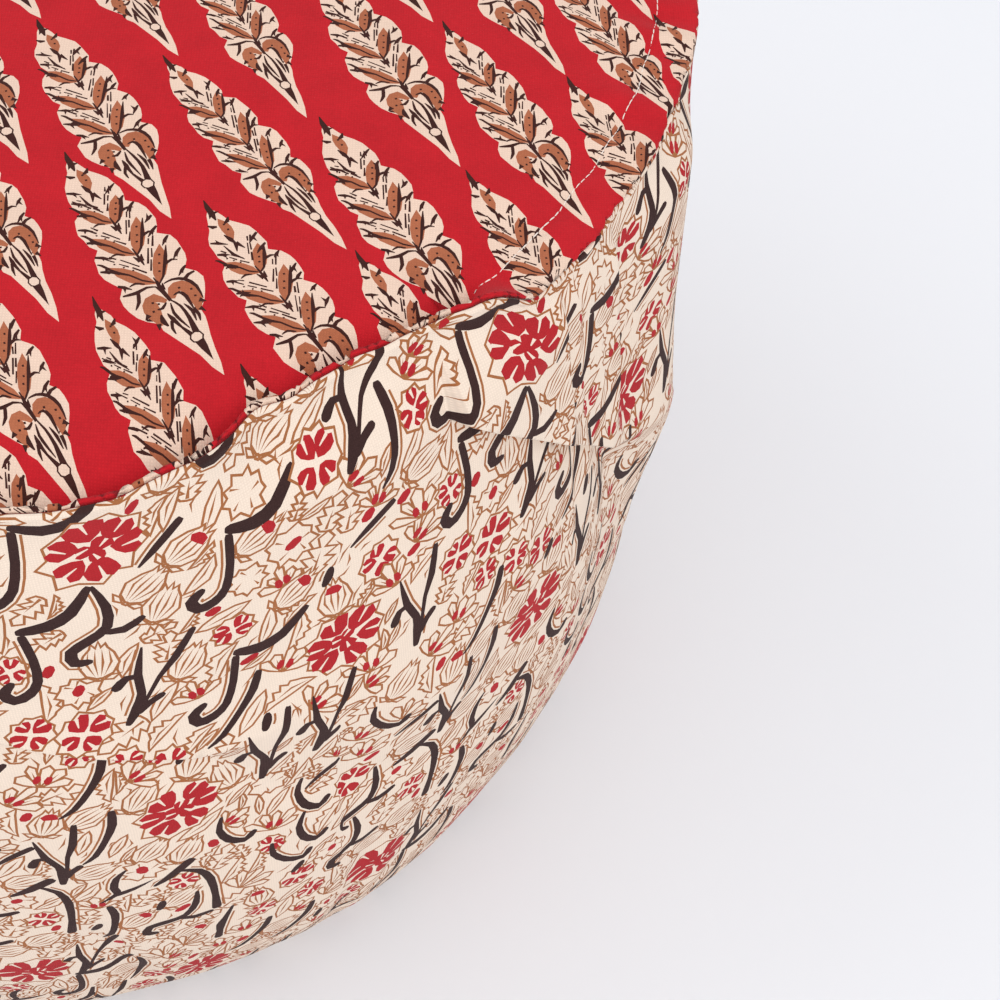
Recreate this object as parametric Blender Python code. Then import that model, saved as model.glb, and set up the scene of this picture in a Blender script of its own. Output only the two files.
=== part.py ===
"""A round pouf: a filled drum of printed cotton with a topstitched rim flange.

Three sewn pieces, in metres, +Z up, standing on z = 0 with the pouf's axis on the Z axis:
the filled side band, the top panel and the base panel. Turns are degrees round that axis,
anticlockwise from +X when seen from above, so the pouf's front is at -90.
"""
import math

import bmesh
import bpy

# Driving dimensions
RIM_RADIUS = 0.250      # seam between top panel and side band, where the flange lies flat
RIM_HEIGHT = 0.318      # that seam above the floor
FLANGE_WIDTH = 0.0125   # from the topstitching to the seam
FLANGE_RISE = 0.0095    # crest of the standing flange above the seam's height
FLANGE_STAND = 80.0     # slope of a standing flange, degrees
FLANGE_DROOP = -3.0     # slope of a flat flange, degrees
CROWN = 0.020           # the top panel's middle above its stitched edge
CROWN_POWER = 2.5       # 2 is an even dome, more keeps the middle flatter
ROLL = 0.004            # soft roll of the top panel behind a standing flange
ROLL_REACH = 0.016      # how far inside the stitching that roll is fullest
CLOTH = 0.002           # thickness of a cloth layer with its seam allowance
GAP = 0.0003            # clearance between two sewn pieces
BASE_RADIUS = 0.2065    # base panel
COLUMNS = 120           # steps round the pouf
BASE_COLUMNS = 72       # steps round the base panel

# The wall's outline: height above the floor, radius
WALL = [
    (0.0023, 0.2075), (0.006, 0.2125), (0.014, 0.2182), (0.030, 0.2252), (0.060, 0.2345),
    (0.100, 0.2428), (0.130, 0.2470), (0.155, 0.2495), (0.180, 0.2512), (0.210, 0.2522),
    (0.250, 0.2524), (0.280, 0.2527), (0.296, 0.2530),
]
WALL_ROWS = [
    0.0023, 0.006, 0.014, 0.028, 0.044, 0.060, 0.076, 0.092, 0.108, 0.124, 0.140, 0.156,
    0.172, 0.188, 0.204, 0.220, 0.236, 0.252, 0.267, 0.282, 0.296,
]
SHOULDER_STEPS = 3      # rows from the wall's last height to the crest

# The rim flange, all the way round: turn, stand (0 flat, 1 upright), crest radius
FLANGE = [
    (-350, 0.00, 0.2510), (-330, 0.00, 0.2500), (-316, 0.15, 0.2515), (-301, 0.65, 0.2505),
    (-286, 0.95, 0.2490), (-271, 0.90, 0.2455), (-257, 1.00, 0.2435), (-243, 0.85, 0.2495),
    (-229, 1.00, 0.2485), (-215, 0.90, 0.2425), (-200, 1.00, 0.2445), (-186, 0.50, 0.2500),
    (-173, 0.20, 0.2515), (-160, 0.60, 0.2505), (-146, 0.95, 0.2470), (-132, 1.00, 0.2440),
    (-118, 0.80, 0.2510), (-105, 1.00, 0.2480), (-92, 0.90, 0.2430), (-79, 1.00, 0.2470),
    (-69, 0.95, 0.2510), (-64, 1.00, 0.2480), (-58, 1.00, 0.2395), (-52, 1.00, 0.2385),
    (-47, 1.00, 0.2405), (-43, 0.85, 0.2440), (-37.5, 0.00, 0.2503), (-20, 0.00, 0.2500),
]

# Tucks of the side band, where the cloth above or to the right laps over the rest, or under
# it where the lap is negative: from turn, from height, to turn, to height, lap
TUCKS = [
    (-51, 0.318, 5, 0.066, 0.0053),
    (-29, 0.330, -27.5, 0.110, -0.0026),
    (-36, 0.326, -34.5, 0.160, -0.0018),
    (-82, 0.246, -44, 0.146, 0.0036),
    (-128, 0.300, -96, 0.190, 0.0030),
    (-176, 0.262, -140, 0.150, 0.0034),
    (-222, 0.210, -186, 0.262, 0.0028),
    (-262, 0.296, -232, 0.166, 0.0036),
    (-306, 0.248, -274, 0.140, 0.0030),
    (-338, 0.180, -312, 0.286, 0.0026),
]
TUCK_ABOVE = 0.026      # how far the lap's bulge reaches above a tuck
TUCK_BELOW = 0.014      # and its dip below
TUCK_DIP = 0.5          # depth of that dip, as a share of the lap
TUCK_STEP = 0.005       # height over which it steps
TUCK_SOFT = 0.046       # and how much more where the tuck runs out
TUCK_FIRM = 0.36        # share of its length up to which it stays crisp
TUCK_LOOSE = 0.62       # and from which it is soft
TUCK_FADE = 0.035       # length over which a tuck dies out at each end

# Upright creases of the side band: turn, low end, high end, depth, slant in degrees to the top
CREASES = [
    (-12, 0.060, 0.220, 0.0018, -3), (12, 0.080, 0.290, 0.0020, 3),
    (37, 0.050, 0.250, 0.0022, -4), (58, 0.110, 0.305, 0.0018, 3),
    (84, 0.060, 0.240, 0.0024, 4), (111, 0.120, 0.300, 0.0020, -3),
    (139, 0.060, 0.230, 0.0020, 3), (163, 0.100, 0.305, 0.0022, -2),
    (-74, 0.020, 0.120, 0.0020, -4), (-57, 0.010, 0.110, 0.0018, 3),
    (-104, 0.070, 0.290, 0.0020, 3), (-133, 0.040, 0.170, 0.0022, -4),
    (-158, 0.110, 0.300, 0.0018, 3),
]
CREASE_WIDTH = 0.007
CREASE_FADE = 0.030     # height over which a crease dies out at each end
CREASE_LIP = 0.6        # raised lip beside a crease, as a share of its depth
CREASE_LIP_AT = 1.6     # and its place, in crease widths

# Soft bulges of the filling: turn, low end, high end, push, half width in degrees
BULGES = [
    (-19.5, 0.115, 0.335, 0.0044, 9.0), (-19.5, 0.190, 0.345, 0.0018, 9.0),
    (-5, 0.110, 0.335, -0.0025, 11.0),
]

# Slow lumps of the filling: waves round the pouf, lean up the wall in radians a metre, share, start
LUMPS = [(3, 9, 1.0, 2.6), (5, -14, 0.7, 1.0), (8, 21, 0.5, 2.2)]
LUMP = 0.0012
LUMP_FOOT = 0.05        # height over which the lumps grow from the foot
FOLD_FOOT = 0.02        # height over which the folds do

SHOULDER_LEAN = 95.0    # the side band's slope where it meets a flat flange, degrees
SHOULDER_TURN = 60.0    # flange slope from which the side band runs on along the flange

# The top panel's rows, as shares of the radius of its stitched edge
TOP_ROWS = [0.40, 0.68, 0.82, 0.90, 0.95, 0.985, 1.0]
FLANGE_STEPS = 2        # rows from the stitching to the crest


def ease(share):
    share = min(max(share, 0.0), 1.0)
    return share * share * (3 - 2 * share)


def along(stations, place):
    """A smooth curve through (place, value) stations."""
    last = len(stations) - 1
    step = next((i for i in range(last) if place <= stations[i + 1][0]), last - 1)
    (a, at_a), (b, at_b) = stations[step], stations[step + 1]
    before = stations[max(step - 1, 0)]
    after = stations[min(step + 2, last)]
    slope_a = (at_b - before[1]) / (b - before[0])
    slope_b = (after[1] - at_a) / (after[0] - a)
    t = (place - a) / (b - a)
    width = b - a
    return (
        at_a * (1 + 2 * t) * (1 - t) ** 2 + slope_a * width * t * (1 - t) ** 2
        + at_b * t * t * (3 - 2 * t) - slope_b * width * t * t * (1 - t)
    )


def flange_at(turn):
    """How far the flange stands at a turn, and its crest's radius."""
    first = FLANGE[0][0]
    turn = (turn - first) % 360 + first
    ring = FLANGE + [(first + 360, FLANGE[0][1], FLANGE[0][2])]
    for (a, stand_a, crest_a), (b, stand_b, crest_b) in zip(ring, ring[1:]):
        if turn <= b:
            share = ease((turn - a) / (b - a))
            return stand_a + (stand_b - stand_a) * share, crest_a + (crest_b - crest_a) * share


def turned(a, b):
    """Degrees from turn b to turn a, between -180 and 180."""
    return (a - b + 180) % 360 - 180


def tuck_push(turn, height):
    """How far the tucks push the wall out at a place."""
    push = 0.0
    for from_turn, from_height, to_turn, to_height, lap in TUCKS:
        run = math.radians(to_turn - from_turn) * RIM_RADIUS
        rise = to_height - from_height
        length = math.hypot(run, rise)
        x = math.radians(turned(turn, (from_turn + to_turn) / 2)) * RIM_RADIUS + run / 2
        y = height - from_height
        along_tuck = (x * run + y * rise) / length
        above = (y * run - x * rise) / length
        ends = ease(along_tuck / TUCK_FADE) * ease((length - along_tuck) / TUCK_FADE)
        if ends == 0.0:
            continue
        step = TUCK_STEP + TUCK_SOFT * ease((along_tuck / length - TUCK_FIRM) / (TUCK_LOOSE - TUCK_FIRM))
        past = max(abs(above) - step / 2, 0.0)
        bulge = math.exp(-past / TUCK_ABOVE)
        dip = -TUCK_DIP * math.exp(-past / TUCK_BELOW)
        push += lap * ends * (dip + (bulge - dip) * ease(above / step + 0.5))
    return push


def crease_push(turn, height):
    """How far the upright creases push the wall out at a place."""
    push = 0.0
    for middle, low, high, depth, slant in CREASES:
        ends = ease((height - low) / CREASE_FADE) * ease((high - height) / CREASE_FADE)
        if ends == 0.0:
            continue
        lean = slant * (height - low) / (high - low)
        across = math.radians(turned(turn, middle + lean)) * RIM_RADIUS / CREASE_WIDTH
        lip = CREASE_LIP * math.exp(-(across - CREASE_LIP_AT) ** 2)
        push += depth * ends * (lip - math.exp(-across ** 2))
    return push


def bulge_push(turn, height):
    """How far the soft bulges push the wall out at a place."""
    push = 0.0
    for middle, low, high, out, half in BULGES:
        ends = ease((height - low) / CREASE_FADE) * ease((high - height) / CREASE_FADE)
        push += out * ends * ease(1 - abs(turned(turn, middle)) / half)
    return push


def unevenness(turn, height):
    """Slow lumps of the filling."""
    a = math.radians(turn)
    waves = sum(share * math.sin(count * a + lean * height + start) for count, lean, share, start in LUMPS)
    return LUMP * waves * ease(height / LUMP_FOOT)


def wall_point(turn, height):
    push = tuck_push(turn, height) + crease_push(turn, height)
    push += bulge_push(turn, height) + unevenness(turn, height)
    return along(WALL, height) + push * ease(height / FOLD_FOOT), height


def top_line(turn):
    """The top panel's upper face at a turn, from its middle out to the flange's crest."""
    stand, crest_radius = flange_at(turn)
    slope = math.radians(FLANGE_DROOP + (FLANGE_STAND - FLANGE_DROOP) * stand)
    crest = (crest_radius, RIM_HEIGHT + FLANGE_RISE * math.sin(max(slope, 0.0)))
    out = (math.cos(slope), math.sin(slope))
    stitch = (crest[0] - FLANGE_WIDTH * out[0], crest[1] - FLANGE_WIDTH * out[1])
    line = [crown_point(stitch, stand, share) for share in TOP_ROWS]
    for step in range(1, FLANGE_STEPS + 1):
        share = step / FLANGE_STEPS * FLANGE_WIDTH
        line.append((stitch[0] + share * out[0], stitch[1] + share * out[1]))
    return line, slope


def crown_point(stitch, stand, share):
    inside = (1 - share) * stitch[0] / ROLL_REACH
    roll = ROLL * stand * inside * math.exp(1 - inside)
    middle = RIM_HEIGHT + CROWN
    return share * stitch[0], middle - (middle - stitch[1]) * share ** CROWN_POWER + roll


def below(line, depth):
    """A line as deep as this under another, measured square to it."""
    moved = []
    for i, (r, z) in enumerate(line):
        ahead = line[min(i + 1, len(line) - 1)]
        behind = line[max(i - 1, 0)]
        along_r, along_z = ahead[0] - behind[0], ahead[1] - behind[1]
        size = math.hypot(along_r, along_z)
        moved.append((r + depth * along_z / size, z - depth * along_r / size))
    return moved


def shoulder(turn, crest, slope):
    """The side band's outside, from its straight wall up to the flange's crest."""
    start = wall_point(turn, WALL_ROWS[-1])
    reach = math.hypot(crest[0] - start[0], crest[1] - start[1])
    lean = math.radians(SHOULDER_LEAN)
    end_slope = lean + (slope - lean) * ease(slope / math.radians(SHOULDER_TURN))
    line = []
    for step in range(1, SHOULDER_STEPS + 1):
        t = step / SHOULDER_STEPS
        rise = reach * t * (1 - t) ** 2
        fall = -reach * t * t * (1 - t)
        keep, come = (1 + 2 * t) * (1 - t) ** 2, t * t * (3 - 2 * t)
        line.append((
            keep * start[0] + come * crest[0] + fall * math.cos(end_slope),
            keep * start[1] + come * crest[1] + rise + fall * math.sin(end_slope),
        ))
    return line


def side_line(turn):
    """The filled side band's outside at a turn, from the foot up, over the crest and in."""
    upper, slope = top_line(turn)
    under = below(upper, CLOTH + GAP)
    crest = under[-1]
    outer_crest = (crest[0] + CLOTH * math.sin(slope), crest[1] - CLOTH * math.cos(slope))
    wall = [wall_point(turn, height) for height in WALL_ROWS]
    return wall + shoulder(turn, outer_crest, slope) + under[::-1]


def turned_solid(name, line_at, columns, low_pole, high_pole, returns_at=0):
    """One closed mesh from a line at each turn, closed by a pole below and above.

    Up to row returns_at the triangles lean the other way, so that where a line doubles back
    under itself, its two sheets and what lies on them are creased alike.
    """
    bm = bmesh.new()
    rings = []
    for column in range(columns):
        turn = 360 * column / columns
        cos, sin = math.cos(math.radians(turn)), math.sin(math.radians(turn))
        rings.append([bm.verts.new((r * cos, r * sin, z)) for r, z in line_at(turn)])
    low = bm.verts.new((0, 0, low_pole))
    high = bm.verts.new((0, 0, high_pole))
    for here, there in zip(rings, rings[1:] + rings[:1]):
        bm.faces.new((low, there[0], here[0]))
        for row in range(len(here) - 1):
            a, b, c, d = here[row], there[row], there[row + 1], here[row + 1]
            halves = ((a, b, c), (a, c, d)) if row < returns_at else ((a, b, d), (b, c, d))
            for half in halves:
                bm.faces.new(half)
        bm.faces.new((here[-1], there[-1], high))
    bmesh.ops.recalc_face_normals(bm, faces=bm.faces)
    mesh = bpy.data.meshes.new(name)
    bm.to_mesh(mesh)
    bm.free()
    mesh.shade_smooth()
    solid = bpy.data.objects.new(name, mesh)
    bpy.context.scene.collection.objects.link(solid)
    return solid


def cloth_material(name, colour):
    material = bpy.data.materials.new(name)
    material.use_nodes = True
    shader = material.node_tree.nodes["Principled BSDF"]
    shader.inputs["Base Color"].default_value = (*colour, 1)
    shader.inputs["Roughness"].default_value = 0.85
    shader.inputs["Metallic"].default_value = 0.0
    return material


def make_side_band():
    middle = RIM_HEIGHT + CROWN - CLOTH - GAP
    band = turned_solid("side_band", side_line, COLUMNS, WALL_ROWS[0], middle)
    band.data.materials.append(cloth_material("cream_print", (0.72, 0.55, 0.42)))


def make_top_panel():
    def sheet_line(turn):
        upper, _ = top_line(turn)
        return below(upper, CLOTH) + upper[::-1]

    middle = RIM_HEIGHT + CROWN
    rows = len(TOP_ROWS) + FLANGE_STEPS
    panel = turned_solid("top_panel", sheet_line, COLUMNS, middle - CLOTH, middle, rows)
    panel.data.materials.append(cloth_material("red_print", (0.52, 0.03, 0.04)))


def make_base_panel():
    def sheet_line(turn):
        return [(BASE_RADIUS, 0.0), (BASE_RADIUS, CLOTH)]

    panel = turned_solid("base_panel", sheet_line, BASE_COLUMNS, 0.0, CLOTH)
    panel.data.materials.append(cloth_material("plain_canvas", (0.66, 0.58, 0.45)))


def main():
    for old in list(bpy.data.objects):
        bpy.data.objects.remove(old)
    make_side_band()
    make_top_panel()
    make_base_panel()


main()
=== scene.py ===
"""Looks of a round floor pouf: block-printed cotton over a filled drum, with a topstitched rim flange.

Lengths of the form are in metres, and the flat prints are drawn in millimetres of cloth. Turns are
degrees round the pouf's axis, anticlockwise from +X when seen from above; its front is at -90.
"""
import math
import random

import bpy
import numpy as np
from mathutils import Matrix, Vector
from mathutils.geometry import delaunay_2d_cdt


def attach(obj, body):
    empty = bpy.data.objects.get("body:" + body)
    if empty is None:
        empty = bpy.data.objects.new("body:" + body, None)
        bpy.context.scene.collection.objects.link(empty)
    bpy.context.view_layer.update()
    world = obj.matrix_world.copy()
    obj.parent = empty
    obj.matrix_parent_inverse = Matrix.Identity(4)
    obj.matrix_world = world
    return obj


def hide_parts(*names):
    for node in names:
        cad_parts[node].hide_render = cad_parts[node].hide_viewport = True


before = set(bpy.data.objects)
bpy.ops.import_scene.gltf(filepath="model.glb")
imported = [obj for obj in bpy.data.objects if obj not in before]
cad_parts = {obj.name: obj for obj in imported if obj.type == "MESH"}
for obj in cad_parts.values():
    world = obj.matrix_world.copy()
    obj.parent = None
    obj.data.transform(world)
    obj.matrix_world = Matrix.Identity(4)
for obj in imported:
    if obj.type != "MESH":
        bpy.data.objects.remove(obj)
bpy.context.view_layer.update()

bl_info = {
    "name": "Block-printed round pouf",
    "version": (1, 0, 0),
    "blender": (4, 5, 0),
    "location": "3D View > Sidebar > Pouf",
    "description": "Dresses a round pouf in printed cotton with a topstitched rim flange",
    "category": "Object",
}

MM = 0.001

# Form, as in the solids
RIM_RADIUS = 0.250
RIM_HEIGHT = 0.318
FLANGE_WIDTH = 0.0125   # from the stitching to the crest
FLANGE_RISE = 0.0095    # its crest above the rim where it stands
FLANGE_STAND = 80.0     # its slope in degrees where it stands
FLANGE_DROOP = -3.0     # and where it lies flat
CROWN = 0.020           # the top's middle above the rim
CROWN_POWER = 2.5
ROLL = 0.004            # soft roll of the top inside a standing flange
ROLL_REACH = 0.016
CLOTH = 0.002           # thickness
GAP = 0.0003            # between the sewn pieces
BASE_RADIUS = 0.2065
# The wall of the side band: height, radius
WALL = [
    (0.0023, 0.2075), (0.006, 0.2125), (0.014, 0.2182), (0.030, 0.2252), (0.060, 0.2345),
    (0.100, 0.2428), (0.130, 0.2470), (0.155, 0.2495), (0.180, 0.2512), (0.210, 0.2522),
    (0.250, 0.2524), (0.280, 0.2527), (0.296, 0.2530),
]
FOOT = WALL[0][0]
SHOULDER = WALL[-1][0]
# The rim flange: turn, stand (0 flat, 1 upright), crest radius
FLANGE = [
    (-350, 0.00, 0.2510), (-330, 0.00, 0.2500), (-316, 0.15, 0.2515), (-301, 0.65, 0.2505),
    (-286, 0.95, 0.2490), (-271, 0.90, 0.2455), (-257, 1.00, 0.2435), (-243, 0.85, 0.2495),
    (-229, 1.00, 0.2485), (-215, 0.90, 0.2425), (-200, 1.00, 0.2445), (-186, 0.50, 0.2500),
    (-173, 0.20, 0.2515), (-160, 0.60, 0.2505), (-146, 0.95, 0.2470), (-132, 1.00, 0.2440),
    (-118, 0.80, 0.2510), (-105, 1.00, 0.2480), (-92, 0.90, 0.2430), (-79, 1.00, 0.2470),
    (-69, 0.95, 0.2510), (-64, 1.00, 0.2480), (-58, 1.00, 0.2395), (-52, 1.00, 0.2385),
    (-47, 1.00, 0.2405), (-43, 0.85, 0.2440), (-37.5, 0.00, 0.2503), (-20, 0.00, 0.2500),
]
# Tucks of the side band: from turn, from height, to turn, to height, lap
TUCKS = [
    (-51, 0.318, 5, 0.066, 0.0053), (-29, 0.330, -27.5, 0.110, -0.0026),
    (-36, 0.326, -34.5, 0.160, -0.0018), (-82, 0.246, -44, 0.146, 0.0036),
    (-128, 0.300, -96, 0.190, 0.0030), (-176, 0.262, -140, 0.150, 0.0034),
    (-222, 0.210, -186, 0.262, 0.0028), (-262, 0.296, -232, 0.166, 0.0036),
    (-306, 0.248, -274, 0.140, 0.0030), (-338, 0.180, -312, 0.286, 0.0026),
]
TUCK_ABOVE = 0.026      # reach of the fullness above a tuck
TUCK_BELOW = 0.014      # and of the dip below it
TUCK_DIP = 0.5          # depth of the dip, as a share of the lap
TUCK_STEP = 0.0022      # width of the lap's edge, crisper than in the solids
TUCK_SOFT = 0.046       # and how much wider it is where the tuck has let go
TUCK_FIRM = 0.36        # shares of its length between which it lets go
TUCK_LOOSE = 0.62
TUCK_FADE = 0.035       # length over which its ends fade
# Upright creases of the side band: turn, low end, high end, depth, slant in degrees to the top
CREASES = [
    (-12, 0.060, 0.220, 0.0018, -3), (12, 0.080, 0.290, 0.0020, 3),
    (37, 0.050, 0.250, 0.0022, -4), (58, 0.110, 0.305, 0.0018, 3),
    (84, 0.060, 0.240, 0.0024, 4), (111, 0.120, 0.300, 0.0020, -3),
    (139, 0.060, 0.230, 0.0020, 3), (163, 0.100, 0.305, 0.0022, -2),
    (-74, 0.020, 0.120, 0.0020, -4), (-57, 0.010, 0.110, 0.0018, 3),
    (-104, 0.070, 0.290, 0.0020, 3), (-133, 0.040, 0.170, 0.0022, -4),
    (-158, 0.110, 0.300, 0.0018, 3),
]
CREASE_WIDTH = 0.007
CREASE_FADE = 0.030     # height over which the ends of creases, bulges and gathers fade
CREASE_LIP = 0.6        # the raised lip beside a crease, as a share of its depth
CREASE_LIP_AT = 1.6     # and how many widths from it
# Soft bulges of the filling: turn, low end, high end, push, half width in degrees
BULGES = [
    (-19.5, 0.115, 0.335, 0.0044, 9.0), (-19.5, 0.190, 0.345, 0.0018, 9.0),
    (-5, 0.110, 0.335, -0.0025, 11.0),
]
# Slow lumps of the filling: waves round the pouf, lean up the wall in radians a metre, share, start
LUMPS = [(3, 9, 1.0, 2.6), (5, -14, 0.7, 1.0), (8, 21, 0.5, 2.2)]
LUMP = 0.0012
LUMP_FOOT = 0.05        # height over which the lumps come in
FOLD_FOOT = 0.02        # and all that moves the wall
SHOULDER_LEAN = 95.0    # slope in degrees at which the side cloth comes up to a flat flange
SHOULDER_TURN = 60.0    # slope of a standing flange from which the cloth runs on along it

# Finer folds, only here; the rumples as the lumps above
RUMPLES = [
    (13, 31, 0.9, 0.4), (17, -22, 0.7, 2.1), (29, 14, 0.35, 5.0), (41, -47, 0.22, 1.3),
    (7, 58, 0.5, 0.2), (53, 70, 0.16, 3.7), (23, -81, 0.2, 4.4), (67, 25, 0.13, 0.9),
]
RUMPLE = 0.00042
PUCKER = 0.00075        # puckers of the top cloth along its stitching
PUCKER_REACH = 0.009    # inwards
# Small waves of the crest: waves round the pouf, share, start
RIM_WAVES = [(31, 0.35, 0.7), (47, 0.3, 2.9), (73, 0.25, 4.1)]
RIM_WAVE = 0.0007
STITCH_SINK = 0.0005    # the groove that the stitching draws
STITCH_GROOVE = 0.0014  # half its width

# Cloth pushed together at the upright folds: turn, low end, high end, cloth taken up, run that gives it
GATHERS = [
    (-27.5, 0.110, 0.318, 0.0062, 0.0100), (-34.2, 0.165, 0.318, 0.0050, 0.0084),
    (-31.0, 0.200, 0.318, 0.0026, 0.0060), (-57, 0.090, 0.200, 0.0030, 0.0060),
    (12, 0.080, 0.290, 0.0050, 0.0090), (62, 0.110, 0.305, 0.0046, 0.0090),
    (111, 0.120, 0.300, 0.0050, 0.0090), (-133, 0.060, 0.200, 0.0040, 0.0080),
    (-158, 0.110, 0.300, 0.0046, 0.0090),
]
GATHER_BACK = 0.080     # cloth on each side over which the print comes back to its place

# Prints, in millimetres of flat cloth
GROUND, BROWN, BLACK, BRIGHT = range(4)    # bright is the top's cream leaf and the side's red flower
NOWHERE = -1
LEAF_STEP = (42.5, -18.0)       # from one leaf to the one beside it
LEAF_CHAIN = (56.5, -72.0)      # from one leaf to the next along its row
LEAF_START = (136.6, -99.3)
LEAF_COLUMNS = range(-12, 13)   # enough of both to cover the cloth
LEAF_ROWS = range(-9, 10)
LEAF_RISE = (10.0, 14.0)        # how far the rows past the first one end up off the even places
LEAF_RISE_FROM = -60.0          # across the cloth, where they start to leave them
LEAF_RISE_RUN = 150.0
LEAF_LENGTH = 88.0
LEAF_HALF = [
    (0, 0.8), (3, 2.6), (8, 4.8), (14, 6.8), (22, 8.8), (30, 10.1), (40, 10.9), (50, 11.1), (57, 10.6),
    (63, 8.4), (68, 5.4), (73, 3.8), (78, 2.7), (83, 1.7), (88, 0.4),
]
LOBE = 15.0                     # from one lobe of a leaf to the next
LOBE_DEPTH = 2.8
LEAF_WIDE = [0.84, 1.0, 0.9, 0.97, 0.87]    # the kinds' widths
LEAF_WAY = -57.0                # degrees from across the cloth, head to tail
LEAF_SWING = 4.0                # how far a leaf may turn off that
LEAF_DRIFT = 1.5                # and stand off its place, in mm
# Leaves that stand off the even rows: head across and up, way
LEAVES_APART = [
    (90, -76, -51.5), (136.5, -99, -57), (179, -115, -57), (106.5, -133.5, -54),
    (149, -149, -56), (90, -18, -62), (133, -33, -61), (171, -52, -61),
    (209, -71, -60), (163, 10, -60), (200, -9, -60), (237, -34, -60),
]
LEAF_ROOM = 27.0                # from one of those to the nearest of an even row
TOP_FLAT = 254.0                # the top's print is drawn on a disc of this radius
TOP_EVEN = 0.180                # and is stretched to the cloth's edge past this one
SIDE_PIECES = ["side_cloth_front", "side_cloth_back", "side_cloth_left"]
SIDE_TILES = 12
SIDE_TILE = 2 * math.pi * RIM_RADIUS / MM / SIDE_TILES
SIDE_TALL = 328.0
SIDE_EVEN = 0.240               # the side's print is stretched to the crest above this height
SIDE_START = -80.0              # turn where the print's first repeat starts
LINE = 0.75                     # brown outlines of the side print
# Full red flowers of one repeat: across, up, radius, turn
ROSETTES = [
    (42.2, 309, 12.5, 0.6), (48.2, 179, 12.5, 0.9), (105, 233, 12.0, 0.7), (117, 74, 13.0, 0.8),
    (45, 36, 12.0, 1.0), (106, 150, 8.0, 0.7), (28.2, 236, 8.0, 0.9), (104, 306, 8.0, 1.1),
]
# Black scrolls, each one or more brush strokes: the brush's places and its width at each
SCROLLS = [
    [(((0, 0), (-3, -3), (-1.5, -6.8), (3, -6), (6.8, -2), (9, 7), (9.8, 17)),
      (2.6, 3.6, 3.8, 3.4, 2.8, 2.5, 2.4)),
     (((10.5, 19.5), (17, 18), (24, 20), (31, 27)), (3.2, 4.4, 4.0, 2.4))],
    [(((0, 0), (2.5, 6), (3.6, 12), (2.6, 20), (3.6, 31)), (2.2, 3.6, 2.6, 2.6, 0.8)),
     (((2.6, 19), (-0.4, 19.5), (-3.2, 16)), (1.6, 2.6, 3.2)),
     (((2.8, 4), (6, 7), (9.2, 9)), (2.6, 2.4, 2.4)),
     (((4.5, 7.5), (8.5, 17), (13, 24), (17.5, 34)), (1.2, 1.6, 2.6, 2.0))],
    [(((9, 4), (14, -2), (15, -12), (12.5, -26), (10, -36)), (1.2, 2.6, 3.0, 2.4, 3.4)),
     (((0, 0), (6, 2.5), (14, 7.5)), (1.6, 3.6, 3.8))],
    [(((0, 0), (-3.4, 1.2), (-3.0, 6.0), (2.5, 8.5), (8.5, 12), (10.5, 20), (9.5, 29)),
      (2.4, 3.4, 3.6, 3.4, 3.0, 2.8, 1.4)),
     (((6, 10.6), (12, 8.5), (17.5, 10.5)), (1.6, 3.0, 2.2))],
    [(((0, 0), (-0.7, -7), (-3.6, -15), (-8, -24), (-12, -28)), (2.4, 3.0, 2.4, 2.2, 0.9))],
    [(((0, 0), (-3.4, -9), (-5.4, -14), (-6.4, -20), (-7.6, -26)), (1.2, 2.4, 3.6, 2.6, 3.2))],
    [(((0, 0), (-7, -6), (-12, -11)), (2.4, 2.4, 0.9))],
    [(((0, 0), (-2.6, -5), (-3.2, -12), (-2, -17), (-7, -23)), (1.0, 2.4, 2.8, 2.6, 0.6)),
     (((-2, -17.5), (3, -14.5), (9, -10)), (2.6, 2.2, 0.5))],
    [(((0, 0), (5, -2), (12, -2), (19, 2), (24, 10), (25.5, 22)), (2.6, 3.2, 3.6, 3.2, 2.6, 1.6))],
    [(((0, 0), (-1, -7), (2, -15), (7, -19), (10, -16)), (1.4, 2.4, 3.0, 3.0, 2.6))],
    [(((0, 0), (1.2, 2.6), (2.0, 5)), (2.4, 3.2, 2.4))],
    [(((0, 0), (6, 3), (12, 4.5), (19, 4)), (1.0, 2.8, 3.4, 1.4))],
]
SCROLL_LARGE = 4        # the first ones of these are large, and are laid first
SCROLL_COUNT = 58
SCROLL_TRIES = 1500
SCROLL_SWING = 14.0             # degrees that one may turn either way
SCROLL_APART = 14.0             # least distance between their starts, with heights counted as 0.8


def ease(share):
    """0 to 1, slow at both ends."""
    share = np.clip(share, 0.0, 1.0)
    return share * share * (3 - 2 * share)


def along(stations, place):
    """A smooth curve through (place, value) stations."""
    places, values = np.array(stations).T
    last = len(places) - 1
    step = np.clip(np.searchsorted(places, place) - 1, 0, last - 1)
    a, b, at_a, at_b = places[step], places[step + 1], values[step], values[step + 1]
    before, after = np.maximum(step - 1, 0), np.minimum(step + 2, last)
    slope_a = (at_b - values[before]) / (b - places[before])
    slope_b = (values[after] - at_a) / (places[after] - a)
    t = (place - a) / (b - a)
    return (
        at_a * (1 + 2 * t) * (1 - t) ** 2 + slope_a * (b - a) * t * (1 - t) ** 2
        + at_b * t * t * (3 - 2 * t) - slope_b * (b - a) * t * t * (1 - t)
    )


def flange_at(turn):
    """How far the flange stands at each turn, and its crest's radius."""
    first = FLANGE[0][0]
    ring = np.array(FLANGE + [(first + 360, *FLANGE[0][1:])])
    turn = (turn - first) % 360 + first
    step = np.clip(np.searchsorted(ring[:, 0], turn) - 1, 0, len(ring) - 2)
    share = ease((turn - ring[step, 0]) / (ring[step + 1, 0] - ring[step, 0]))
    stand, crest = (ring[step, k] + (ring[step + 1, k] - ring[step, k]) * share for k in (1, 2))
    wave = sum(size * np.sin(count * np.radians(turn) + start) for count, size, start in RIM_WAVES)
    return stand, crest + RIM_WAVE * wave


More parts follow.
